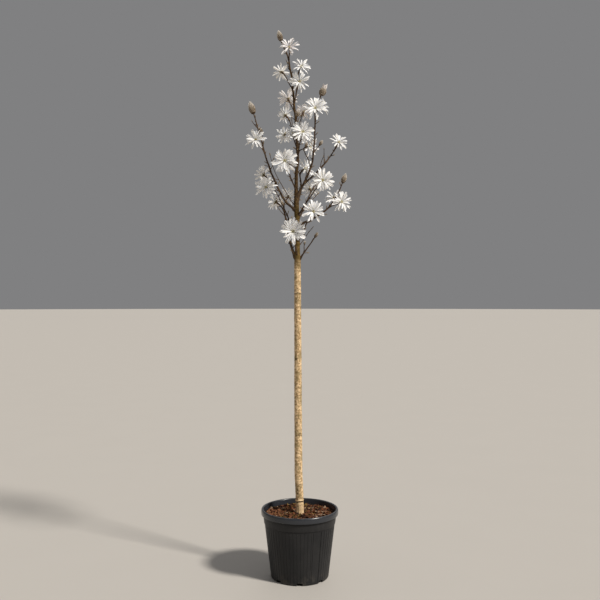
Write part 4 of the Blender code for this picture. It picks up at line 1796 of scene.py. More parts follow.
    def _chip(self, index: int) -> Mould:
        """Model a flat, ragged chip of bark, one unit long.

        Args:
            index: Which of the chips it is, as each tapers by its own amount.

        Returns:
            The mould.
        """
        chip = primitive(bpy.ops.mesh.primitive_cube_add, "chip", size=1, scale=(1, 1, 0.13))
        with editing(chip):
            bpy.ops.mesh.select_all(action="SELECT")
            bpy.ops.mesh.subdivide(number_cuts=1, fractal=0.0)
            pick(chip, Kind.CORNER, lambda centre: centre.x > 0.3)
            bpy.ops.transform.resize(value=(1, 0.45 + 0.15 * index, 1.2), center_override=(0.5, 0.1, 0))
        chance = draws("chip", index)
        for corner in chip.data.vertices:
            corner.co += Vector([chance.uniform(-reach, reach) for reach in self.ragged])
        return Mould.taken(chip)

    def _moss(self, chance: random.Random) -> None:
        """Grow tufts of moss, mostly at the front left.

        Args:
            chance: Where their places are drawn.
        """
        settings = {"vertices": 3, "radius1": 0.09, "depth": 0.35, "location": (0, 0, 0.175)}
        leaf = primitive(bpy.ops.mesh.primitive_cone_add, "moss_leaf", end_fill_type="NOTHING", **settings)
        with editing(leaf):
            pick(leaf, Kind.CORNER, lambda centre: centre.z > 0.2)
            bpy.ops.mesh.bevel(offset=0.1, segments=1, affect="VERTICES")
            bpy.ops.transform.translate(value=(0.08, 0, 0.55))
        mould = Mould.taken(leaf)
        moss = Cluster("moss")
        for _ in range(self.tufts):
            spread = chance.uniform(*self.tuft_reach)
            turn = math.radians(chance.gauss(-30, 40) + (150 if chance.random() < 0.25 else 0))
            middle = Vector((math.sin(turn) * spread, -math.cos(turn) * spread, 0))
            for _ in range(self.leaves):
                spot = middle + Vector((chance.gauss(0, self.tuft_size), chance.gauss(0, self.tuft_size), 0))
                spot.z = self._height(spot.x, spot.y) + self.crumb_lift
                way = facing(chance.uniform(0, 360), chance.uniform(25, 85))
                moss.place(mould, on_end(spot, way, chance.uniform(0, 6), chance.uniform(*self.leaf_size)))
        green = Tissue("moss", (0.150, 0.120, 0.034), (0.30, 0.235, 0.075), 1400, 0.8).make()
        deliver(moss.joined([green]), "compost")


@dataclass(frozen=True)
class RingScar:
    """A ring round the trunk: its height, its lip's rise, its cut's depth, tones and its cut's width."""

    height: float
    lip: float
    cut: float
    pale: float
    dark: float
    width: float = 0.0014


@dataclass(frozen=True)
class Knot:
    """A healed branch scar: its direction, height, size, and how proud, dark and pale it is."""

    azimuth: float
    height: float
    size: float
    proud: float
    dark: float
    pale: float = 0.0


@dataclass(frozen=True)
class Grain:
    """Noise on the bark: how fine it is across the trunk and upwards, and its seed."""

    across: float
    up: float
    seed: Span = (0, 0)

    def at(self, side: Vector, height: float) -> float:
        """Its value on one side of the trunk at a height."""
        return noise.noise(side * self.across + Vector((*self.seed, height * self.up)))


@dataclass
class Relief:
    """The bark's surface: its rings and columns, its lift at each, and the tones that its finish reads."""

    heights: np.ndarray
    azimuths: np.ndarray
    axis: np.ndarray
    radii: np.ndarray
    lift: np.ndarray
    dark: np.ndarray
    pale: np.ndarray

    def away(self, turn: float) -> np.ndarray:
        """Angle of each column from a direction, as one row."""
        return ((self.azimuths - turn + math.pi) % math.tau - math.pi)[None]


@dataclass
class Trunk:
    """The trunk's bark: cross bands, pores, ring scars, knots and the collars of its limbs."""

    growth: Growth
    columns: int = 44
    ring_step: float = 0.0019
    band_pitch: float = 0.0138
    band_height: float = 0.00045
    crack_depth: float = 0.00085
    lump_height: float = 0.00065
    pores: int = 620
    pore_reach: Span = (0.27, 1.50)
    pore_size: Span = (0.0016, 0.0032)
    pore_flatness: float = 0.42
    flute_reach: float = 0.05
    flute_height: float = 0.0016
    fine_height: float = 0.00022
    usual_radius: float = 0.0150
    smooth_from: float = 1.32
    ageing: float = 0.12
    least_aged: float = 0.12
    wander: Grain = Grain(1.1, 26)
    ripple: Grain = Grain(2.6, 60, (7, 0))
    lump: Grain = Grain(1.4, 42, (3, 11))
    fine: Grain = Grain(4.8, 240, (5, 2))
    flute: Grain = Grain(3.2, 12, (9, 4))
    lip_width: float = 0.0019
    knot_reach: float = 3.5
    knot_swell: float = 1.25
    knot_eye: float = 0.62
    collar_width: float = 1.5
    collar_length: float = 2.3
    collar_rise: float = 0.30
    rings: tuple[RingScar, ...] = (
        RingScar(0.2955, 0.0016, 0.0028, 0.5, 1.8, 0.0021),
        RingScar(0.5580, 0.0004, 0.0009, 0.2, 0.9),
        RingScar(1.1170, 0.0008, 0.0007, 0.9, 0.8),
        RingScar(1.2380, 0.0005, 0.0004, 0.2, 0.5),
        RingScar(1.3350, 0.0003, 0.0004, 0.1, 0.5),
        RingScar(1.5420, 0.0003, 0.0003, 0.1, 0.4),
        RingScar(1.7600, 0.0003, 0.0002, 0.1, 0.4),
        RingScar(1.9000, 0.0003, 0.0002, 0.1, 0.4),
    )
    knots: tuple[Knot, ...] = (
        Knot(-32, 0.858, 0.0062, 0.0012, 1.0),
        Knot(-27, 1.169, 0.0042, 0.0006, 0.1, 1.0),
        Knot(-25, 0.818, 0.0040, 0.0005, 0.1, 1.0),
        Knot(-25, 0.529, 0.0042, 0.0005, 0.1, 1.0),
        Knot(-24, 0.380, 0.0042, 0.0005, 0.1, 1.0),
        Knot(-22, 0.343, 0.0034, 0.0005, 0.9),
        Knot(-22, 0.327, 0.0030, 0.0004, 0.8),
        Knot(148, 0.610, 0.0064, 0.0012, 0.9),
        Knot(96, 0.742, 0.0055, 0.0009, 0.8),
        Knot(-110, 1.020, 0.0060, 0.0010, 0.8),
        Knot(190, 0.930, 0.0058, 0.0010, 0.9),
        Knot(60, 1.065, 0.0048, 0.0008, 0.6, 0.4),
        Knot(230, 0.455, 0.0060, 0.0010, 0.7),
        Knot(-60, 1.478, 0.0052, 0.0016, 0.6),
        Knot(50, 1.470, 0.0050, 0.0014, 0.5),
        Knot(170, 1.484, 0.0052, 0.0015, 0.5),
        Knot(-10, 1.490, 0.0044, 0.0010, 0.5),
        Knot(20, 1.392, 0.0046, 0.0010, 0.5),
        Knot(-150, 1.322, 0.0046, 0.0010, 0.5),
    )

    def build(self) -> None:
        """Model the bark's relief ring by ring."""
        low, high = TRUNK_COURSE[0][0], TRUNK_COURSE[-1][0]
        heights = np.linspace(low, high, round((high - low) / self.ring_step) + 1)
        rows = [trunk_at(height) for height in heights]
        shape = len(heights), self.columns + 1
        relief = Relief(
            heights,
            np.linspace(0, math.tau, self.columns + 1),
            np.array([point for point, radius in rows]),
            np.array([radius for point, radius in rows]),
            *(np.zeros(shape) for _ in range(3)),
        )
        self._weather(relief)
        self._add_rings(relief)
        self._add_knots(relief)
        self._add_collars(relief)
        for layer in (relief.lift, relief.dark, relief.pale):
            layer[:, -1] = layer[:, 0]
        reach = relief.radii[:, None] + relief.lift
        rings = np.empty((*shape, 3))
        rings[..., 0] = relief.axis[:, None, 0] + np.sin(relief.azimuths)[None] * reach
        rings[..., 1] = relief.axis[:, None, 1] - np.cos(relief.azimuths)[None] * reach
        rings[..., 2] = heights[:, None]
        tones = {"dark": np.clip(relief.dark, 0, 1), "pale": np.clip(relief.pale, 0, 1)}
        bark = sleeve("trunk_bark", rings, tones)
        smooth(bark, 60)
        self.dress(bark)

    def _weather(self, relief: Relief) -> None:
        """Give the bark its cross bands, lumps and fluted foot.

        Args:
            relief: The bark's relief, which is changed.
        """
        for row, height in enumerate(relief.heights):
            aged = min(1.0, max(self.least_aged, (self.smooth_from - height) / self.ageing))
            size = relief.radii[row] / self.usual_radius
            foot = max(0.0, 1 - (height - SOIL_HEIGHT) / self.flute_reach)
            for column in range(self.columns):
                turn = math.tau * column / self.columns
                side = Vector((math.sin(turn), math.cos(turn), 0))
                wander, ripple = self.wander.at(side, height), self.ripple.at(side, height)
                band = height / self.band_pitch + wander * 0.85 + ripple * 0.3
                phase = band - math.floor(band)
                groove = max(0.0, 1 - min(phase, 1 - phase) / 0.17)
                broken = Grain(1.7, 9, (31, int(band) * 3.7)).at(side, height) + 0.18
                groove *= min(1.0, max(0.0, broken * 3.2)) * (1 - 0.8 * foot)
                lump, fine = self.lump.at(side, height), self.fine.at(side, height)
                flute = self.flute.at(side, height) * foot
                relief.lift[row, column] = size * (
                    aged * (self.band_height * (1 - groove) - self.crack_depth * groove)
                    + self.lump_height * lump * (0.5 + 0.5 * aged)
                    + self.fine_height * fine
                    + self.flute_height * flute
                )
                lip = max(0.0, 1 - abs(phase - 0.2) / 0.14) * min(1.0, max(0.0, broken * 2.4))
                relief.dark[row, column] = aged * groove * (0.78 + 0.4 * fine) + 0.22 * max(0.0, flute - 0.1)
                relief.pale[row, column] = aged * lip * max(0.0, 0.5 + 0.7 * fine)

    def _add_rings(self, relief: Relief) -> None:
        """Cut the ring scars, each with a lip above it.

        Args:
            relief: The bark's relief, which is changed.
        """
        across, up = relief.azimuths[None], relief.heights[:, None]
        for scar in self.rings:
            wave = scar.height + 0.0011 * np.sin(across + scar.height * 40)
            wave = wave + 0.0007 * np.sin(3 * across + 1.3)
            lip = np.exp(-(((up - wave - scar.width * 1.7) / self.lip_width) ** 2))
            cut = np.exp(-(((up - wave) / scar.width) ** 2))
            relief.lift += scar.lip * lip - scar.cut * cut
            relief.dark += scar.dark * cut
            relief.pale += scar.pale * lip - cut

    def _add_knots(self, relief: Relief) -> None:
        """Add the knots, and pores between them.

        Args:
            relief: The bark's relief, which is changed.
        """
        heights, chance = relief.heights, draws("pores")
        spots = [(math.radians(knot.azimuth), 1.0, knot) for knot in self.knots]
        for _ in range(self.pores):
            height, proud = chance.uniform(*self.pore_reach), chance.uniform(0.0002, 0.0004)
            pale, turn = chance.uniform(0.2, 0.6), chance.uniform(0, math.tau)
            pore = Knot(0, height, chance.uniform(*self.pore_size), proud, 0.0, pale)
            spots.append((turn, self.pore_flatness, pore))
        for turn, flat, knot in spots:
            reach = knot.size * self.knot_reach
            low, high = np.searchsorted(heights, (knot.height - reach, knot.height + reach))
            sideways = relief.away(turn) * relief.radii[low:high, None] / knot.size
            distance = np.hypot(sideways, (heights[low:high, None] - knot.height) / (knot.size * flat))
            swell = np.exp(-((distance / self.knot_swell) ** 2))
            eye = np.exp(-((distance / self.knot_eye) ** 4))
            relief.lift[low:high] += knot.proud * swell - knot.proud * 1.1 * eye * (knot.dark > 0)
            relief.dark[low:high] = relief.dark[low:high] * (1 - knot.pale * eye) + knot.dark * eye
            relief.pale[low:high] += knot.pale * eye
            if knot.dark > 0.5:
                relief.dark[low:high] += 0.35 * np.exp(-((distance - 1.15) ** 2) / 0.03)

    def _add_collars(self, relief: Relief) -> None:
        """Swell the trunk where its limbs leave it.

        Args:
            relief: The bark's relief, which is changed.
        """
        for start, way, size in self.growth.feet:
            radius = trunk_at(start.z)[1]
            height = start.z + radius * way.z / max(0.2, Vector(way.xy).length)
            sideways = relief.away(math.atan2(way.x, -way.y)) * radius / (size * self.collar_width)
            distance = np.hypot(sideways, (relief.heights[:, None] - height) / (size * self.collar_length))
            relief.lift += size * self.collar_rise * np.exp(-(distance**2))

    def dress(self, bark: bpy.types.Object) -> None:
        """Give the bark its finish and set it on the plant.

        Args:
            bark: The bark.
        """
        bark.data.materials.append(TrunkBark().make())
        deliver(bark, "bark", "trunk")


@dataclass
class Boughs:
    """The boughs' bark, with wrinkles, leaf rings and pores in relief."""

    growth: Growth
    columns: int = 18
    ring_step: float = 0.0011

    def build(self) -> None:
        """Model each bough and join them."""
        limbs = [self._limb(limb) for limb in self.growth.boughs]
        alone(limbs[0])
        for limb in limbs[1:]:
            limb.select_set(True)
        bpy.ops.object.join()
        bark = bpy.context.object
        bark.name = "bough_bark"
        smooth(bark, 60)
        self.dress(bark)

    def _limb(self, limb: Limb) -> bpy.types.Object:
        """Model one bough as a sleeve round its path.

        Args:
            limb: The bough.

        Returns:
            The sleeve.
        """
        points = rounded(limb.points, self.ring_step)
        share = np.linspace(0, 1, len(points))
        radii = np.interp(share, np.linspace(0, 1, len(limb.radii)), limb.radii)
        rings = np.empty((len(points), self.columns + 1, 3))
        side = Vector((1, 0, 0))
        path = Limb(limb.name, points, [])
        for row, point in enumerate(points):
            along = path.way(row)
            side = (side - along * side.dot(along)).normalized()
            other = along.cross(side)
            for column in range(self.columns):
                turn = math.tau * column / self.columns
                outward = side * math.cos(turn) + other * math.sin(turn)
                spot = point * 90 + outward * 0.8
                bump = noise.noise(spot) * 0.10 + noise.noise(spot * 3.7) * 0.05
                rings[row, column] = point + outward * radii[row] * (1 + bump)
        rings[:, -1] = rings[:, 0]
        return sleeve(limb.name, rings, {})

    def dress(self, bark: bpy.types.Object) -> None:
        """Give the boughs their finish and set them on the plant.

        Args:
            bark: The boughs' bark.
        """
        finish = TwigBark("bough_bark", (0.034, 0.019, 0.009), (0.090, 0.052, 0.022))
        bark.data.materials.append(finish.make())
        deliver(bark, "bark", *(bough.name for bough in BOUGHS))


@dataclass
class Twigs:
    """Stems, twigs and shoots with their nodes, and the tiny resting buds on them."""

    growth: Growth
    sides: int = 8
    furry_from: float = 0.0065

    def build(self) -> None:
        """Model the twigs and the small buds."""
        curve = bpy.data.curves.new("twigs", "CURVE")
        curve.dimensions = "3D"
        curve.bevel_depth = 1.0
        curve.bevel_resolution = self.sides // 2 - 2
        curve.use_fill_caps = True
        for limb in self.growth.twigs:
            spline = curve.splines.new("POLY")
            spline.points.add(len(limb.points) - 1)
            for knot, point, radius in zip(spline.points, limb.points, limb.radii):
                knot.co = (*point, 1.0)
                knot.radius = radius
        alone(stood("twigs", curve))
        bpy.ops.object.convert(target="MESH")
        twigs = bpy.context.object
        with editing(twigs):
            bpy.ops.mesh.select_all(action="SELECT")
            bpy.ops.mesh.remove_doubles(threshold=0.00002)
            bpy.ops.mesh.normals_make_consistent(inside=False)
        smooth(twigs, 60)
        self._small_buds()
        self.dress(twigs)

    def _small_buds(self) -> None:
        """Place a resting bud at each spur's tip and at the nodes."""
        bud = ovoid("small_bud", 6, ((0.0, 0.55), (0.22, 1.0), (0.55, 0.85), (0.82, 0.45), (1.0, 0.0)), 0.21)
        chance = draws("small buds")
        buds = Cluster("small_buds")
        for place, way, length in self.growth.small_buds:
            stand = on_end(place - way * length * 0.12, way, chance.uniform(0, 6), length)
            buds.place(bud, stand, int(length > self.furry_from))
        finishes = [
            Tissue("leaf_bud", (0.115, 0.060, 0.022), (0.25, 0.145, 0.055), 1500).make(),
            Tissue("resting_bud", (0.185, 0.130, 0.070), (0.36, 0.28, 0.175), 1500, 0.75).make(),
        ]
        deliver(buds.joined(finishes, 50), "twigs_and_blossom")

    def dress(self, twigs: bpy.types.Object) -> None:
        """Give the twigs their bark and set them on the plant.

        Args:
            twigs: The twigs.
        """
        twigs.data.materials.clear()
        finish = TwigBark("twig_bark", (0.038, 0.020, 0.010), (0.098, 0.054, 0.022))
        twigs.data.materials.append(finish.make())
        deliver(twigs, "twigs_and_blossom", *(spray.name for spray in SPRAYS))


def ovoid(name: str, sides: int, profile: Sequence[Span], fatness: float, scale_edge: float = 0.0) -> Mould:
    """Upright bud, one unit long, drawn up ring by ring from a small circle.

    Args:
        name: Its name while it is modelled.
        sides: Corners in a ring.
        profile: Height and share of the greatest radius of each ring, the last of which is the tip.
        fatness: Greatest radius.
        scale_edge: How far the outer scale stands out over the inner one, or 0 for a bud without one.

    Returns:
        The mould.
    """
    settings = {"vertices": sides, "radius": fatness * profile[0][1], "fill_type": "NGON"}
    bud = primitive(bpy.ops.mesh.primitive_circle_add, name, **settings)
    with editing(bud):
        pick(bud, Kind.EDGE, lambda centre: True)
        for (low, width), (high, next_width) in zip(profile, profile[1:]):
            grow_ring(high - low, max(next_width, 0.001) / width)
        bpy.ops.mesh.merge(type="COLLAPSE")
        if scale_edge:
            pick(bud, Kind.FACE, lambda at: at.y < 0.02 and 0.05 < at.z < 0.80 - abs(at.x) * 1.2)
            push_faces(scale_edge)
        turn_outwards()
    return Mould.taken(bud)


def tepal_mould(name: str, width: float, notch: float) -> Mould:
    """Strap-shaped tepal, one unit long along +X, with a narrow claw, a shallow channel and a round tip.

    Args:
        name: Its name while it is modelled.
        width: Its greatest width.
        notch: How far the middle of its tip is drawn in.

    Returns:
        The mould, with the claw in zone 0 and the blade in zone 1.
    """
    places = (0.04, 0.10, 0.18, 0.27, 0.37, 0.48, 0.60, 0.71, 0.81, 0.89, 0.95, 0.985)
    shares = (0.34, 0.36, 0.46, 0.60, 0.74, 0.87, 0.96, 1.00, 0.97, 0.85, 0.64, 0.38)
    settings = {"x_subdivisions": 1, "y_subdivisions": 4, "size": 1, "location": (0.5, 0, 0)}
    tepal = primitive(bpy.ops.mesh.primitive_grid_add, name, **settings)
    with editing(tepal):
        bpy.ops.mesh.select_all(action="SELECT")
        bpy.ops.transform.resize(value=(places[0], width * shares[0], 1), center_override=(0, 0, 0))
        pick(tepal, Kind.EDGE, lambda centre: centre.x > places[0] * 0.99)
        for index in range(1, len(places)):
            move = {"value": (places[index] - places[index - 1], 0, 0)}
            bpy.ops.mesh.extrude_edges_move(TRANSFORM_OT_translate=move)
            wider = shares[index] / shares[index - 1]
            bpy.ops.transform.resize(value=(1, wider, 1), center_override=(0, 0, 0))
        pick(tepal, Kind.CORNER, lambda centre: centre.x > 0.98 and abs(centre.y) < width * 0.12)
        bpy.ops.transform.translate(value=(0.015 - notch, 0, 0))
        pick(tepal, Kind.CORNER, lambda centre: abs(centre.y) < 0.002)
        bpy.ops.transform.translate(value=(0, 0, -0.016))
    for corner in tepal.data.vertices:
        share = abs(corner.co.y) / (width / 2)
        corner.co.z += 0.020 * share * share - 0.010 * (corner.co.x - 0.6) ** 2 * 0.35
    wall = tepal.modifiers.new("Wall", "SOLIDIFY")
    wall.thickness = 0.011
    wall.offset = 0.0
    apply_modifiers(tepal)
    for face in tepal.data.polygons:
        face.material_index = int(face.center.x > 0.15)
    return Mould.taken(tepal)


@dataclass
class Flowers:
    """Open flowers: four whorls of strap tepals, stamens, a green cone, and the scales behind them."""

    growth: Growth
    tepal_shapes: tuple[Span, ...] = ((0.185, 0.0), (0.205, 0.010), (0.165, 0.004))  # width, and notch
    tones: tuple[Colour, ...] = (
        (0.895, 0.893, 0.888),
        (0.885, 0.873, 0.852),
        (0.895, 0.868, 0.864),
    )
    claws: tuple[Colour, ...] = (
        (0.83, 0.82, 0.745),
        (0.82, 0.80, 0.72),
        (0.82, 0.765, 0.73),
    )
    shares: tuple[float, ...] = (0.64, 0.24, 0.12)
    full_width: float = 0.083
    extra_tepals: float = 150  # for a metre of width past the full one
    tries: int = 5
    nearest: float = 0.0032
    trunk_room: float = 0.0012
    scale_length: Span = (0.011, 0.016)
    heart_share: float = 0.78
    heart_width: float = 0.085
    cone: float = 0.0092
    stamens: int = 40
    stamen_length: float = 0.0068
    stigmas: int = 22
    stigma_length: float = 0.0026
    sway: Span = (-0.11, 0.11)
    wave: Span = (0.004, 0.022)
    twist: Span = (-0.75, 0.75)
    taken: list[Vector] = field(default_factory=list)

    def build(self) -> None:
        """Model every flower."""
        moulds = [tepal_mould("tepal", *shape) for shape in self.tepal_shapes]
        scale = tepal_mould("scale", 0.36, -0.03)
        outer, inner, calyces = Cluster("outer_tepals"), Cluster("inner_tepals"), Cluster("calyces")
        rings = ((0.0, 0.36), (0.30, 0.50), (0.62, 0.86), (0.86, 1.0), (1.0, 0.90), (1.04, 0.0))
        cup = ovoid("cup", 12, rings, 0.40)
        for name, bloom in self.growth.blooms:
            upright = on_end(Vector(bloom.place), facing(bloom.azimuth, bloom.rise))
            chance = draws(name)
            tone = draws(name, "tone").choices(range(len(self.tones)), self.shares)[0]
            occupied = self._tree()
            fresh: list[Vector] = []
            for whorl, turn, length, lift in self._drawn(bloom, chance):
                cluster = outer if whorl in (PLAIN.whorls[0], FINE.whorls[0]) else inner
                for _ in range(self.tries):
                    mould = chance.choice(moulds)
                    corners = self._tepal(mould, whorl, turn, length, lift, chance, upright)
                    if self._is_free(corners, occupied):
                        cluster.add(mould, corners, tone * 2)
                        fresh += [Vector(corner) for corner in corners[:: len(corners) // 16]]
                        break
                    turn += chance.uniform(-0.12, 0.12)
                    lift += 0.16
            self.taken += fresh
            self._calyx(calyces, cup, scale, upright, chance)
        self._hearts()
        self.dress(outer, inner, calyces)

    def _drawn(self, bloom: Bloom, chance: random.Random) -> list[tuple[Whorl, float, float, float]]:
        """Draw the tepals of a flower, of which a wide one has more.

        Args:
            bloom: The flower.
            chance: Where they are drawn.

        Returns:
            For each tepal its whorl, its direction round the flower, its length and its rise at the root.
        """
        first_turn = chance.uniform(0, math.tau)
        drawn = []
        for habit in (PLAIN, FINE):
            extra = 0
            if habit is FINE:
                wide = round((bloom.width - self.full_width) * self.extra_tepals)
                extra = chance.choice((-1, 0, 0, 1, 3)) + max(0, wide)
            for ring, whorl in enumerate(habit.whorls):
                count = whorl.count + extra
                for index in range(count):
                    share = (index + habit.start + chance.uniform(-habit.stray, habit.stray)) / count
                    turn = first_turn + ring * GOLDEN_ANGLE + math.tau * share
                    length = bloom.width / 2 * whorl.reach * chance.uniform(habit.shortest, 1.06)
                    lift = whorl.root_lift + chance.uniform(-habit.lift_stray, habit.lift_stray)
                    drawn.append((whorl, turn, length, lift))
        return drawn

    def _tepal(
        self, mould: Mould, whorl: Whorl, turn: float, length: float, lift: float, chance: random.Random,
        upright: Matrix,
    ) -> np.ndarray:
        """Corners of one tepal, which waves, twists and bends by its own amounts.

        Args:
            mould: Its mould.
            whorl: The whorl that it is in.
            turn: Its direction round the flower.
            length: Its length.
            lift: Rise at its root.
            chance: Where its own amounts are drawn.
            upright: The flower's matrix.

        Returns:
            The corners.
        """
        x, y, z = mould.corners.T
        sway, wave, twist = (chance.uniform(*span) for span in (self.sway, self.wave, self.twist))
        phase, broad = chance.uniform(0, 6), chance.uniform(0.86, 1.14)
        y, z = y * broad, z + wave * np.sin(x * 8 + phase) * x
        roll = twist * x
        y, z = y * np.cos(roll) - z * np.sin(roll) + sway * x * x, y * np.sin(roll) + z * np.cos(roll)
        droop = whorl.tip_lift + chance.uniform(-0.36, 0.26)
        corners = bent(np.stack((x, y, z), axis=1) * length, length, lift, droop)
        root = Matrix.Translation((TEPAL_ROOT, 0, whorl.height))
        return moved(corners, upright @ Matrix.Rotation(turn, 4, "Z") @ root)

    def _tree(self) -> kdtree.KDTree:
        """Make a search tree of points on the flowers that already stand.

        Returns:
            The tree.
        """
        tree = kdtree.KDTree(len(self.taken))
        for index, point in enumerate(self.taken):
            tree.insert(point, index)
        tree.balance()
        return tree

    def _is_free(self, corners: np.ndarray, occupied: kdtree.KDTree) -> bool:
        """Whether a tepal is clear of the trunk and of the flowers that stand already.

        Args:
            corners: The tepal's corners.
            occupied: Points on those flowers.

        Returns:
            True where it is clear.
        """
        heights = [row[0] for row in TRUNK_COURSE]
        columns = [np.interp(corners[:, 2], heights, [row[i] for row in TRUNK_COURSE]) for i in (1, 2, 3)]
        away = np.hypot(corners[:, 0] - columns[0], corners[:, 1] - columns[1])
        if (away < columns[2] + self.trunk_room).any():
            return False
        return not self.taken or all(occupied.find(corner)[2] > self.nearest for corner in corners[::7])

    def _calyx(
        self, calyces: Cluster, cup: Mould, scale: Mould, upright: Matrix, chance: random.Random
    ) -> None:
        """Add the stalk's end behind a flower, with two furry scales that stay on it.

        Args:
            calyces: The cluster that they go into.
            cup: The mould of the stalk's end.
            scale: The mould of a scale.
            upright: The flower's matrix.
            chance: Where the scales' own amounts are drawn.
        """
        seat = upright @ Matrix.Translation((0, 0, -CALYX_LENGTH))
        calyces.place(cup, seat @ Matrix.Scale(CALYX_LENGTH * 1.08, 4))
        first = chance.uniform(0, math.tau)
        for index in range(2):
            length = chance.uniform(*self.scale_length)
            lifts = chance.uniform(1.15, 1.45), chance.uniform(0.2, 0.7)
            corners = bent(scale.corners * length, length, *lifts)
            turned = upright @ Matrix.Rotation(first + index * 2.6, 4, "Z")
            calyces.add(scale, moved(corners, turned @ Matrix.Translation((0.0030, 0, -0.0112))), 1)

    def _hearts(self) -> None:
        """Set stamens round a green cone of curled stigmas in every flower."""
        stamen = self._stamen()
        cone = ovoid("cone", 10, ((0.0, 0.8), (0.2, 1.0), (0.5, 0.92), (0.8, 0.62), (1.0, 0.0)), 0.26)
        stamens, pistils = Cluster("stamens"), Cluster("pistils")
        for name, bloom in self.growth.blooms:
            chance = draws(name, "heart")
            upright = on_end(Vector(bloom.place), facing(bloom.azimuth, bloom.rise))
            size = bloom.width / self.heart_width * self.heart_share
            pistils.place(cone, upright @ Matrix.Scale(self.cone * size, 4))
            for index in range(self.stamens):
                share = index / self.stamens
                way = Vector((1, 0, 0.30 + 1.9 * share + chance.uniform(-0.2, 0.2))).normalized()
                foot = Vector((0.0024 - 0.0006 * share, 0, 0.0004 + 0.0020 * share)) * size
                turned = upright @ Matrix.Rotation(index * GOLDEN_ANGLE, 4, "Z")
                length = self.stamen_length * size * chance.uniform(0.85, 1.1)
                stamens.place(stamen, turned @ on_end(foot, way, 0, length), int(chance.random() < 0.3))
            for index in range(self.stigmas):
                share = (index + 0.5) / self.stigmas
                wide = 0.0022 * size * (1 - share * 0.7)
                foot = Vector((wide, 0, self.cone * size * (0.32 + 0.66 * share)))
                way = Vector((1, 0.4, 0.5 + share)).normalized()
                turned = upright @ Matrix.Rotation(index * GOLDEN_ANGLE, 4, "Z")
                pistils.place(stamen, turned @ on_end(foot, way, 0, self.stigma_length * size), 1)
        cream = Tissue("stamen_cream", (0.80, 0.70, 0.42), (0.84, 0.78, 0.58), 2200).make()
        blush = Tissue("stamen_blush", (0.74, 0.55, 0.40), (0.80, 0.68, 0.50), 2200).make()
        green = Tissue("pistil_green", (0.58, 0.57, 0.27), (0.68, 0.66, 0.38), 1800).make()
        lime = Tissue("stigma", (0.72, 0.70, 0.42), (0.80, 0.78, 0.56), 1800).make()
        deliver(stamens.joined([cream, blush], 50), "twigs_and_blossom")
        deliver(pistils.joined([green, lime], 50), "twigs_and_blossom")

    @staticmethod
    def _stamen() -> Mould:
        """Model a flat upright stamen, one unit long, with a blunt tip.

        Returns:
            The mould.
        """
        settings = {"vertices": 4, "radius": 0.055, "fill_type": "NGON"}
        stamen = primitive(bpy.ops.mesh.primitive_circle_add, "stamen", **settings)
        with editing(stamen):
            pick(stamen, Kind.EDGE, lambda centre: True)
            for rise, factor in ((0.25, 1.25), (0.45, 1.1), (0.22, 0.85), (0.08, 0.35)):
                grow_ring(rise, factor)
            bpy.ops.mesh.edge_face_add()
            bpy.ops.mesh.select_all(action="SELECT")
            bpy.ops.transform.resize(value=(0.6, 1.5, 1), center_override=(0, 0, 0))
            turn_outwards()
        return Mould.taken(stamen)

    def dress(self, outer: Cluster, inner: Cluster, calyces: Cluster) -> None:
        """Give the tepals and scales their finishes and set them on the plant.

        Args:
            outer: The outer tepals.
            inner: The inner tepals.
            calyces: The stalks' ends and the scales.
        """
        finishes = []
        for index, (claw, tone) in enumerate(zip(self.claws, self.tones)):
            finishes.append(TepalSkin(f"tepal_claw_{index + 1}", claw).make())
            finishes.append(TepalSkin(f"tepal_blade_{index + 1}", tone).make())
        for cluster in (outer, inner):
            deliver(cluster.joined(finishes, 70), "twigs_and_blossom")
        cup = Tissue("calyx", (0.115, 0.095, 0.038), (0.20, 0.155, 0.075), 1200, 0.65).make()
        scale = Tissue("flower_scale", (0.20, 0.155, 0.090), (0.36, 0.31, 0.21), 1800, 0.8).make()
        deliver(calyces.joined([cup, scale, scale], 60), "twigs_and_blossom")


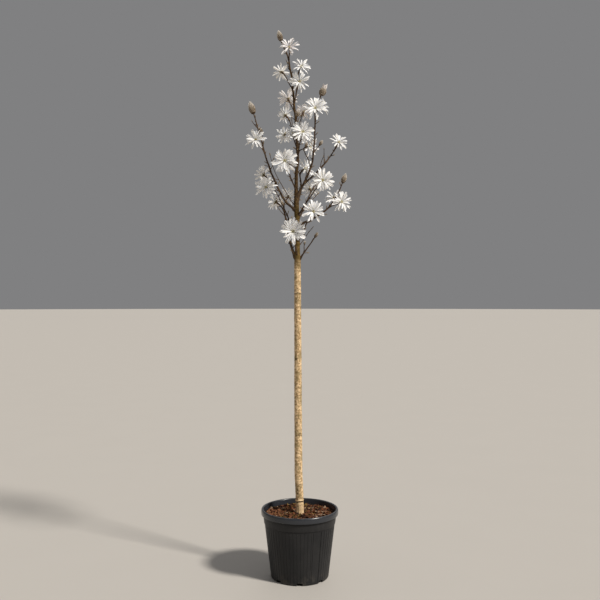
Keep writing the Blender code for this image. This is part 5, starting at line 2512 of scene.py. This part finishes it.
@dataclass
class FlowerBuds:
    """Furry flower buds, some of them opening, on a brown foot."""

    growth: Growth
    sides: int = 20
    fatness: float = 0.24
    seat: float = 0.08
    open_size: float = 0.90
    open_shape: Place = (1.34, 1.34, 0.84)
    hairs: int = 3700  # on a bud of the usual length
    usual_length: float = 0.045
    hair_length: Span = (0.0028, 0.0060)
    hair_lean: Span = (0.08, 0.40)
    brown_share: float = 0.34
    silver_share: float = 0.64
    tepals: int = 15
    tepal_length: Span = (0.66, 0.86)

    def build(self) -> None:
        """Model every bud with its fur."""
        profile = ((0.0, 0.42), (0.05, 0.66), (0.12, 0.85), (0.22, 0.98), (0.34, 1.04), (0.48, 1.02))
        profile += ((0.62, 0.92), (0.75, 0.74), (0.86, 0.52), (0.94, 0.30), (1.0, 0.0))
        closed = ovoid("bud", self.sides, profile, self.fatness, 0.012)
        profile = ((0.0, 0.46), (0.04, 0.66), (0.08, 0.79), (0.105, 0.84), (0.115, 0.80), (0.115, 0.0))
        foot = ovoid("foot", self.sides, profile, self.fatness)
        hair = self._hair()
        wrap = tepal_mould("wrap", 0.42, 0.0)
        bodies, furs, tips = Cluster("flower_buds"), Cluster("bud_fur"), Cluster("bud_tips")
        for name, bud in self.growth.buds:
            chance = draws(name, "fur")
            way = facing(bud.azimuth, bud.rise)
            base = Vector(bud.place) - way * bud.length * self.seat
            opening = bud.stage is BudStage.OPENING
            size = bud.length * (self.open_size if opening else 1.0)
            stand = on_end(base, way, chance.uniform(0, 6), size)
            if opening:
                stand = stand @ Matrix.Diagonal((*self.open_shape, 1))
            bodies.place(closed, stand)
            bodies.place(foot, stand, 1)
            self._fur(furs, hair, closed, stand, size, way, chance)
            if opening:
                self._tips(tips, wrap, base, way, bud.length, chance)
        self.dress(bodies, furs, tips)

    @staticmethod
    def _hair() -> Mould:
        """Model a slim three-sided hair, one unit long.

        Returns:
            The mould.
        """
        settings = {"vertices": 3, "radius1": 0.031, "depth": 1, "location": (0, 0, 0.5)}
        hair = primitive(bpy.ops.mesh.primitive_cone_add, "hair", end_fill_type="NOTHING", **settings)
        with editing(hair):
            pick(hair, Kind.CORNER, lambda centre: centre.z > 0.5)
            bpy.ops.transform.translate(value=(0.12, 0, 0))
        return Mould.taken(hair)

    def _fur(
        self, furs: Cluster, hair: Mould, body: Mould, stand: Matrix, size: float, way: Vector,
        chance: random.Random,
    ) -> None:
        """Scatter hairs over a bud, combed towards its tip.

        Args:
            furs: The cluster that they go into.
            hair: Their mould.
            body: The bud's mould.
            stand: The bud's matrix.
            size: The bud's length.
            way: The way that it points.
            chance: Where their places are drawn.
        """
        corners = moved(body.corners, stand)
        axis = np.array(Vector(stand.translation))
        starts = np.concatenate(([0], np.cumsum(body.sizes)[:-1]))
        faces = [body.loops[start : start + count] for start, count in zip(starts, body.sizes) if count > 2]
        rings = [corners[face] for face in faces]
        areas = [np.linalg.norm(np.cross(ring[1] - ring[0], ring[2] - ring[0])) for ring in rings]
        for ring in chance.choices(rings, areas, k=round(self.hairs * size / self.usual_length)):
            across, up = chance.random(), chance.random()
            near, far = ring[0] + (ring[1] - ring[0]) * across, ring[-1] + (ring[-2] - ring[-1]) * across
            spot = near + (far - near) * up
            outward = spot - axis
            outward = Vector(outward - np.array(way) * float(outward @ np.array(way)))
            along = (way + outward.normalized() * chance.uniform(*self.hair_lean)).normalized()
            stray = Vector([chance.gauss(0, 0.12) for _ in range(3)])
            length = chance.uniform(*self.hair_length) * (0.6 + size / 0.1)
            high = Vector(spot - axis).dot(way) / size + chance.gauss(0, 0.10)
            zone = 0 if high < self.brown_share else 1 if high < self.silver_share else 2
            root = on_end(Vector(spot), (along + stray).normalized(), chance.uniform(0, 6), length)
            furs.place(hair, root, zone)

    def _tips(
        self, tips: Cluster, wrap: Mould, base: Vector, way: Vector, length: float, chance: random.Random
    ) -> None:
        """Add the tips of rolled tepals that show from an opening bud.

        Args:
            tips: The cluster that they go into.
            wrap: Their mould.
            base: The bud's foot.
            way: The way that it points.
            length: Its length.
            chance: Where their own amounts are drawn.
        """
        for index in range(self.tepals):
            long = length * chance.uniform(*self.tepal_length) * (1 - 0.014 * index)
            lifts = math.radians(chance.uniform(70, 83)), math.radians(chance.uniform(88, 122))
            stand = on_end(base + way * length * 0.30, way, index * GOLDEN_ANGLE)
            place = stand @ Matrix.Translation((length * 0.115, 0, 0))
            tips.add(wrap, moved(bent(wrap.corners * long, long, *lifts), place))

    def dress(self, bodies: Cluster, furs: Cluster, tips: Cluster) -> None:
        """Give the buds their finishes and set them on the plant.

        Args:
            bodies: The buds and their feet.
            furs: Their fur.
            tips: The tepals' tips.
        """
        skin = Tissue("bud_skin", (0.230, 0.185, 0.135), (0.38, 0.325, 0.255), 1500, 0.8).make()
        foot = Tissue("bud_foot", (0.050, 0.028, 0.013), (0.100, 0.060, 0.030), 1500, 0.6).make()
        brown = Tissue("bud_fur_brown", (0.115, 0.070, 0.034), (0.22, 0.150, 0.085), 1500, 0.7).make()
        beige = Tissue("bud_fur_beige", (0.50, 0.42, 0.32), (0.68, 0.60, 0.50), 1500, 0.7).make()
        silver = Tissue("bud_fur_silver", (0.82, 0.76, 0.68), (0.92, 0.88, 0.82), 1500, 0.7).make()
        blush = TepalSkin("bud_tepal_foot", (0.78, 0.66, 0.58)).make()
        white = TepalSkin("bud_tepal", (0.84, 0.78, 0.745)).make()
        deliver(bodies.joined([skin, foot], 40), "twigs_and_blossom")
        deliver(furs.joined([brown, beige, silver], 60), "twigs_and_blossom")
        deliver(tips.joined([blush, white], 60), "twigs_and_blossom")


@dataclass(frozen=True)
class Lamp:
    """A distant soft light: the direction it comes from, how wide it looks in degrees, power and tint."""

    name: str
    azimuth: float
    rise: float
    spread: float
    power: float
    tint: Colour


@dataclass
class Studio:
    """Pale floor, soft lights, and the level camera at the photograph's viewing angle."""

    floor_radius: float = 90
    lamps: tuple[Lamp, ...] = (
        Lamp("key", 56, 42, 8, 3.45, (1.0, 0.955, 0.890)),
        Lamp("back", 172, 40, 40, 0.25, (1.0, 0.97, 0.93)),
    )
    lamp_distance: float = 5
    sky: Colour = (0.60, 0.60, 0.61)
    sky_strength: float = 0.36
    camera_place: Place = (0.001, -2.95, 1.091)
    lens: float = 44.7
    sensor: float = 36

    def build(self) -> None:
        """Set up the studio."""
        settings = {"vertices": 96, "radius": self.floor_radius, "fill_type": "NGON"}
        floor = primitive(bpy.ops.mesh.primitive_circle_add, "studio_floor", **settings)
        floor.data.materials.append(StudioPaint().make())
        for lamp in self.lamps:
            light = bpy.data.lights.new(lamp.name, "SUN")
            light.angle = math.radians(lamp.spread)
            light.energy = lamp.power
            light.color = lamp.tint
            way = facing(lamp.azimuth, lamp.rise)
            stand = stood(lamp.name, light)
            stand.location = way * self.lamp_distance
            stand.rotation_euler = way.to_track_quat("Z", "Y").to_euler()
        world = bpy.data.worlds.new("studio")
        world.use_nodes = True
        back = world.node_tree.nodes["Background"]
        back.inputs["Color"].default_value = (*self.sky, 1.0)
        back.inputs["Strength"].default_value = self.sky_strength
        camera = stood("camera", bpy.data.cameras.new("camera"))
        camera.data.lens = self.lens
        camera.data.sensor_width = self.sensor
        camera.location = self.camera_place
        camera.rotation_euler = (math.radians(90), 0, 0)
        scene = bpy.context.scene
        scene.world = world
        scene.camera = camera
        scene.view_settings.view_transform = "Standard"


def main() -> None:
    """Build the looks, sub-assembly by sub-assembly."""
    logging.basicConfig(level=logging.INFO, format="%(name)s %(message)s")
    growth = Growth().grow()
    for assembly in (
        Pot(),
        Compost(),
        Trunk(growth),
        Boughs(growth),
        Twigs(growth),
        Flowers(growth),
        FlowerBuds(growth),
        Studio(),
    ):
        LOG.info("%s", type(assembly).__name__)
        assembly.build()


if __name__ == "__main__":
    main()
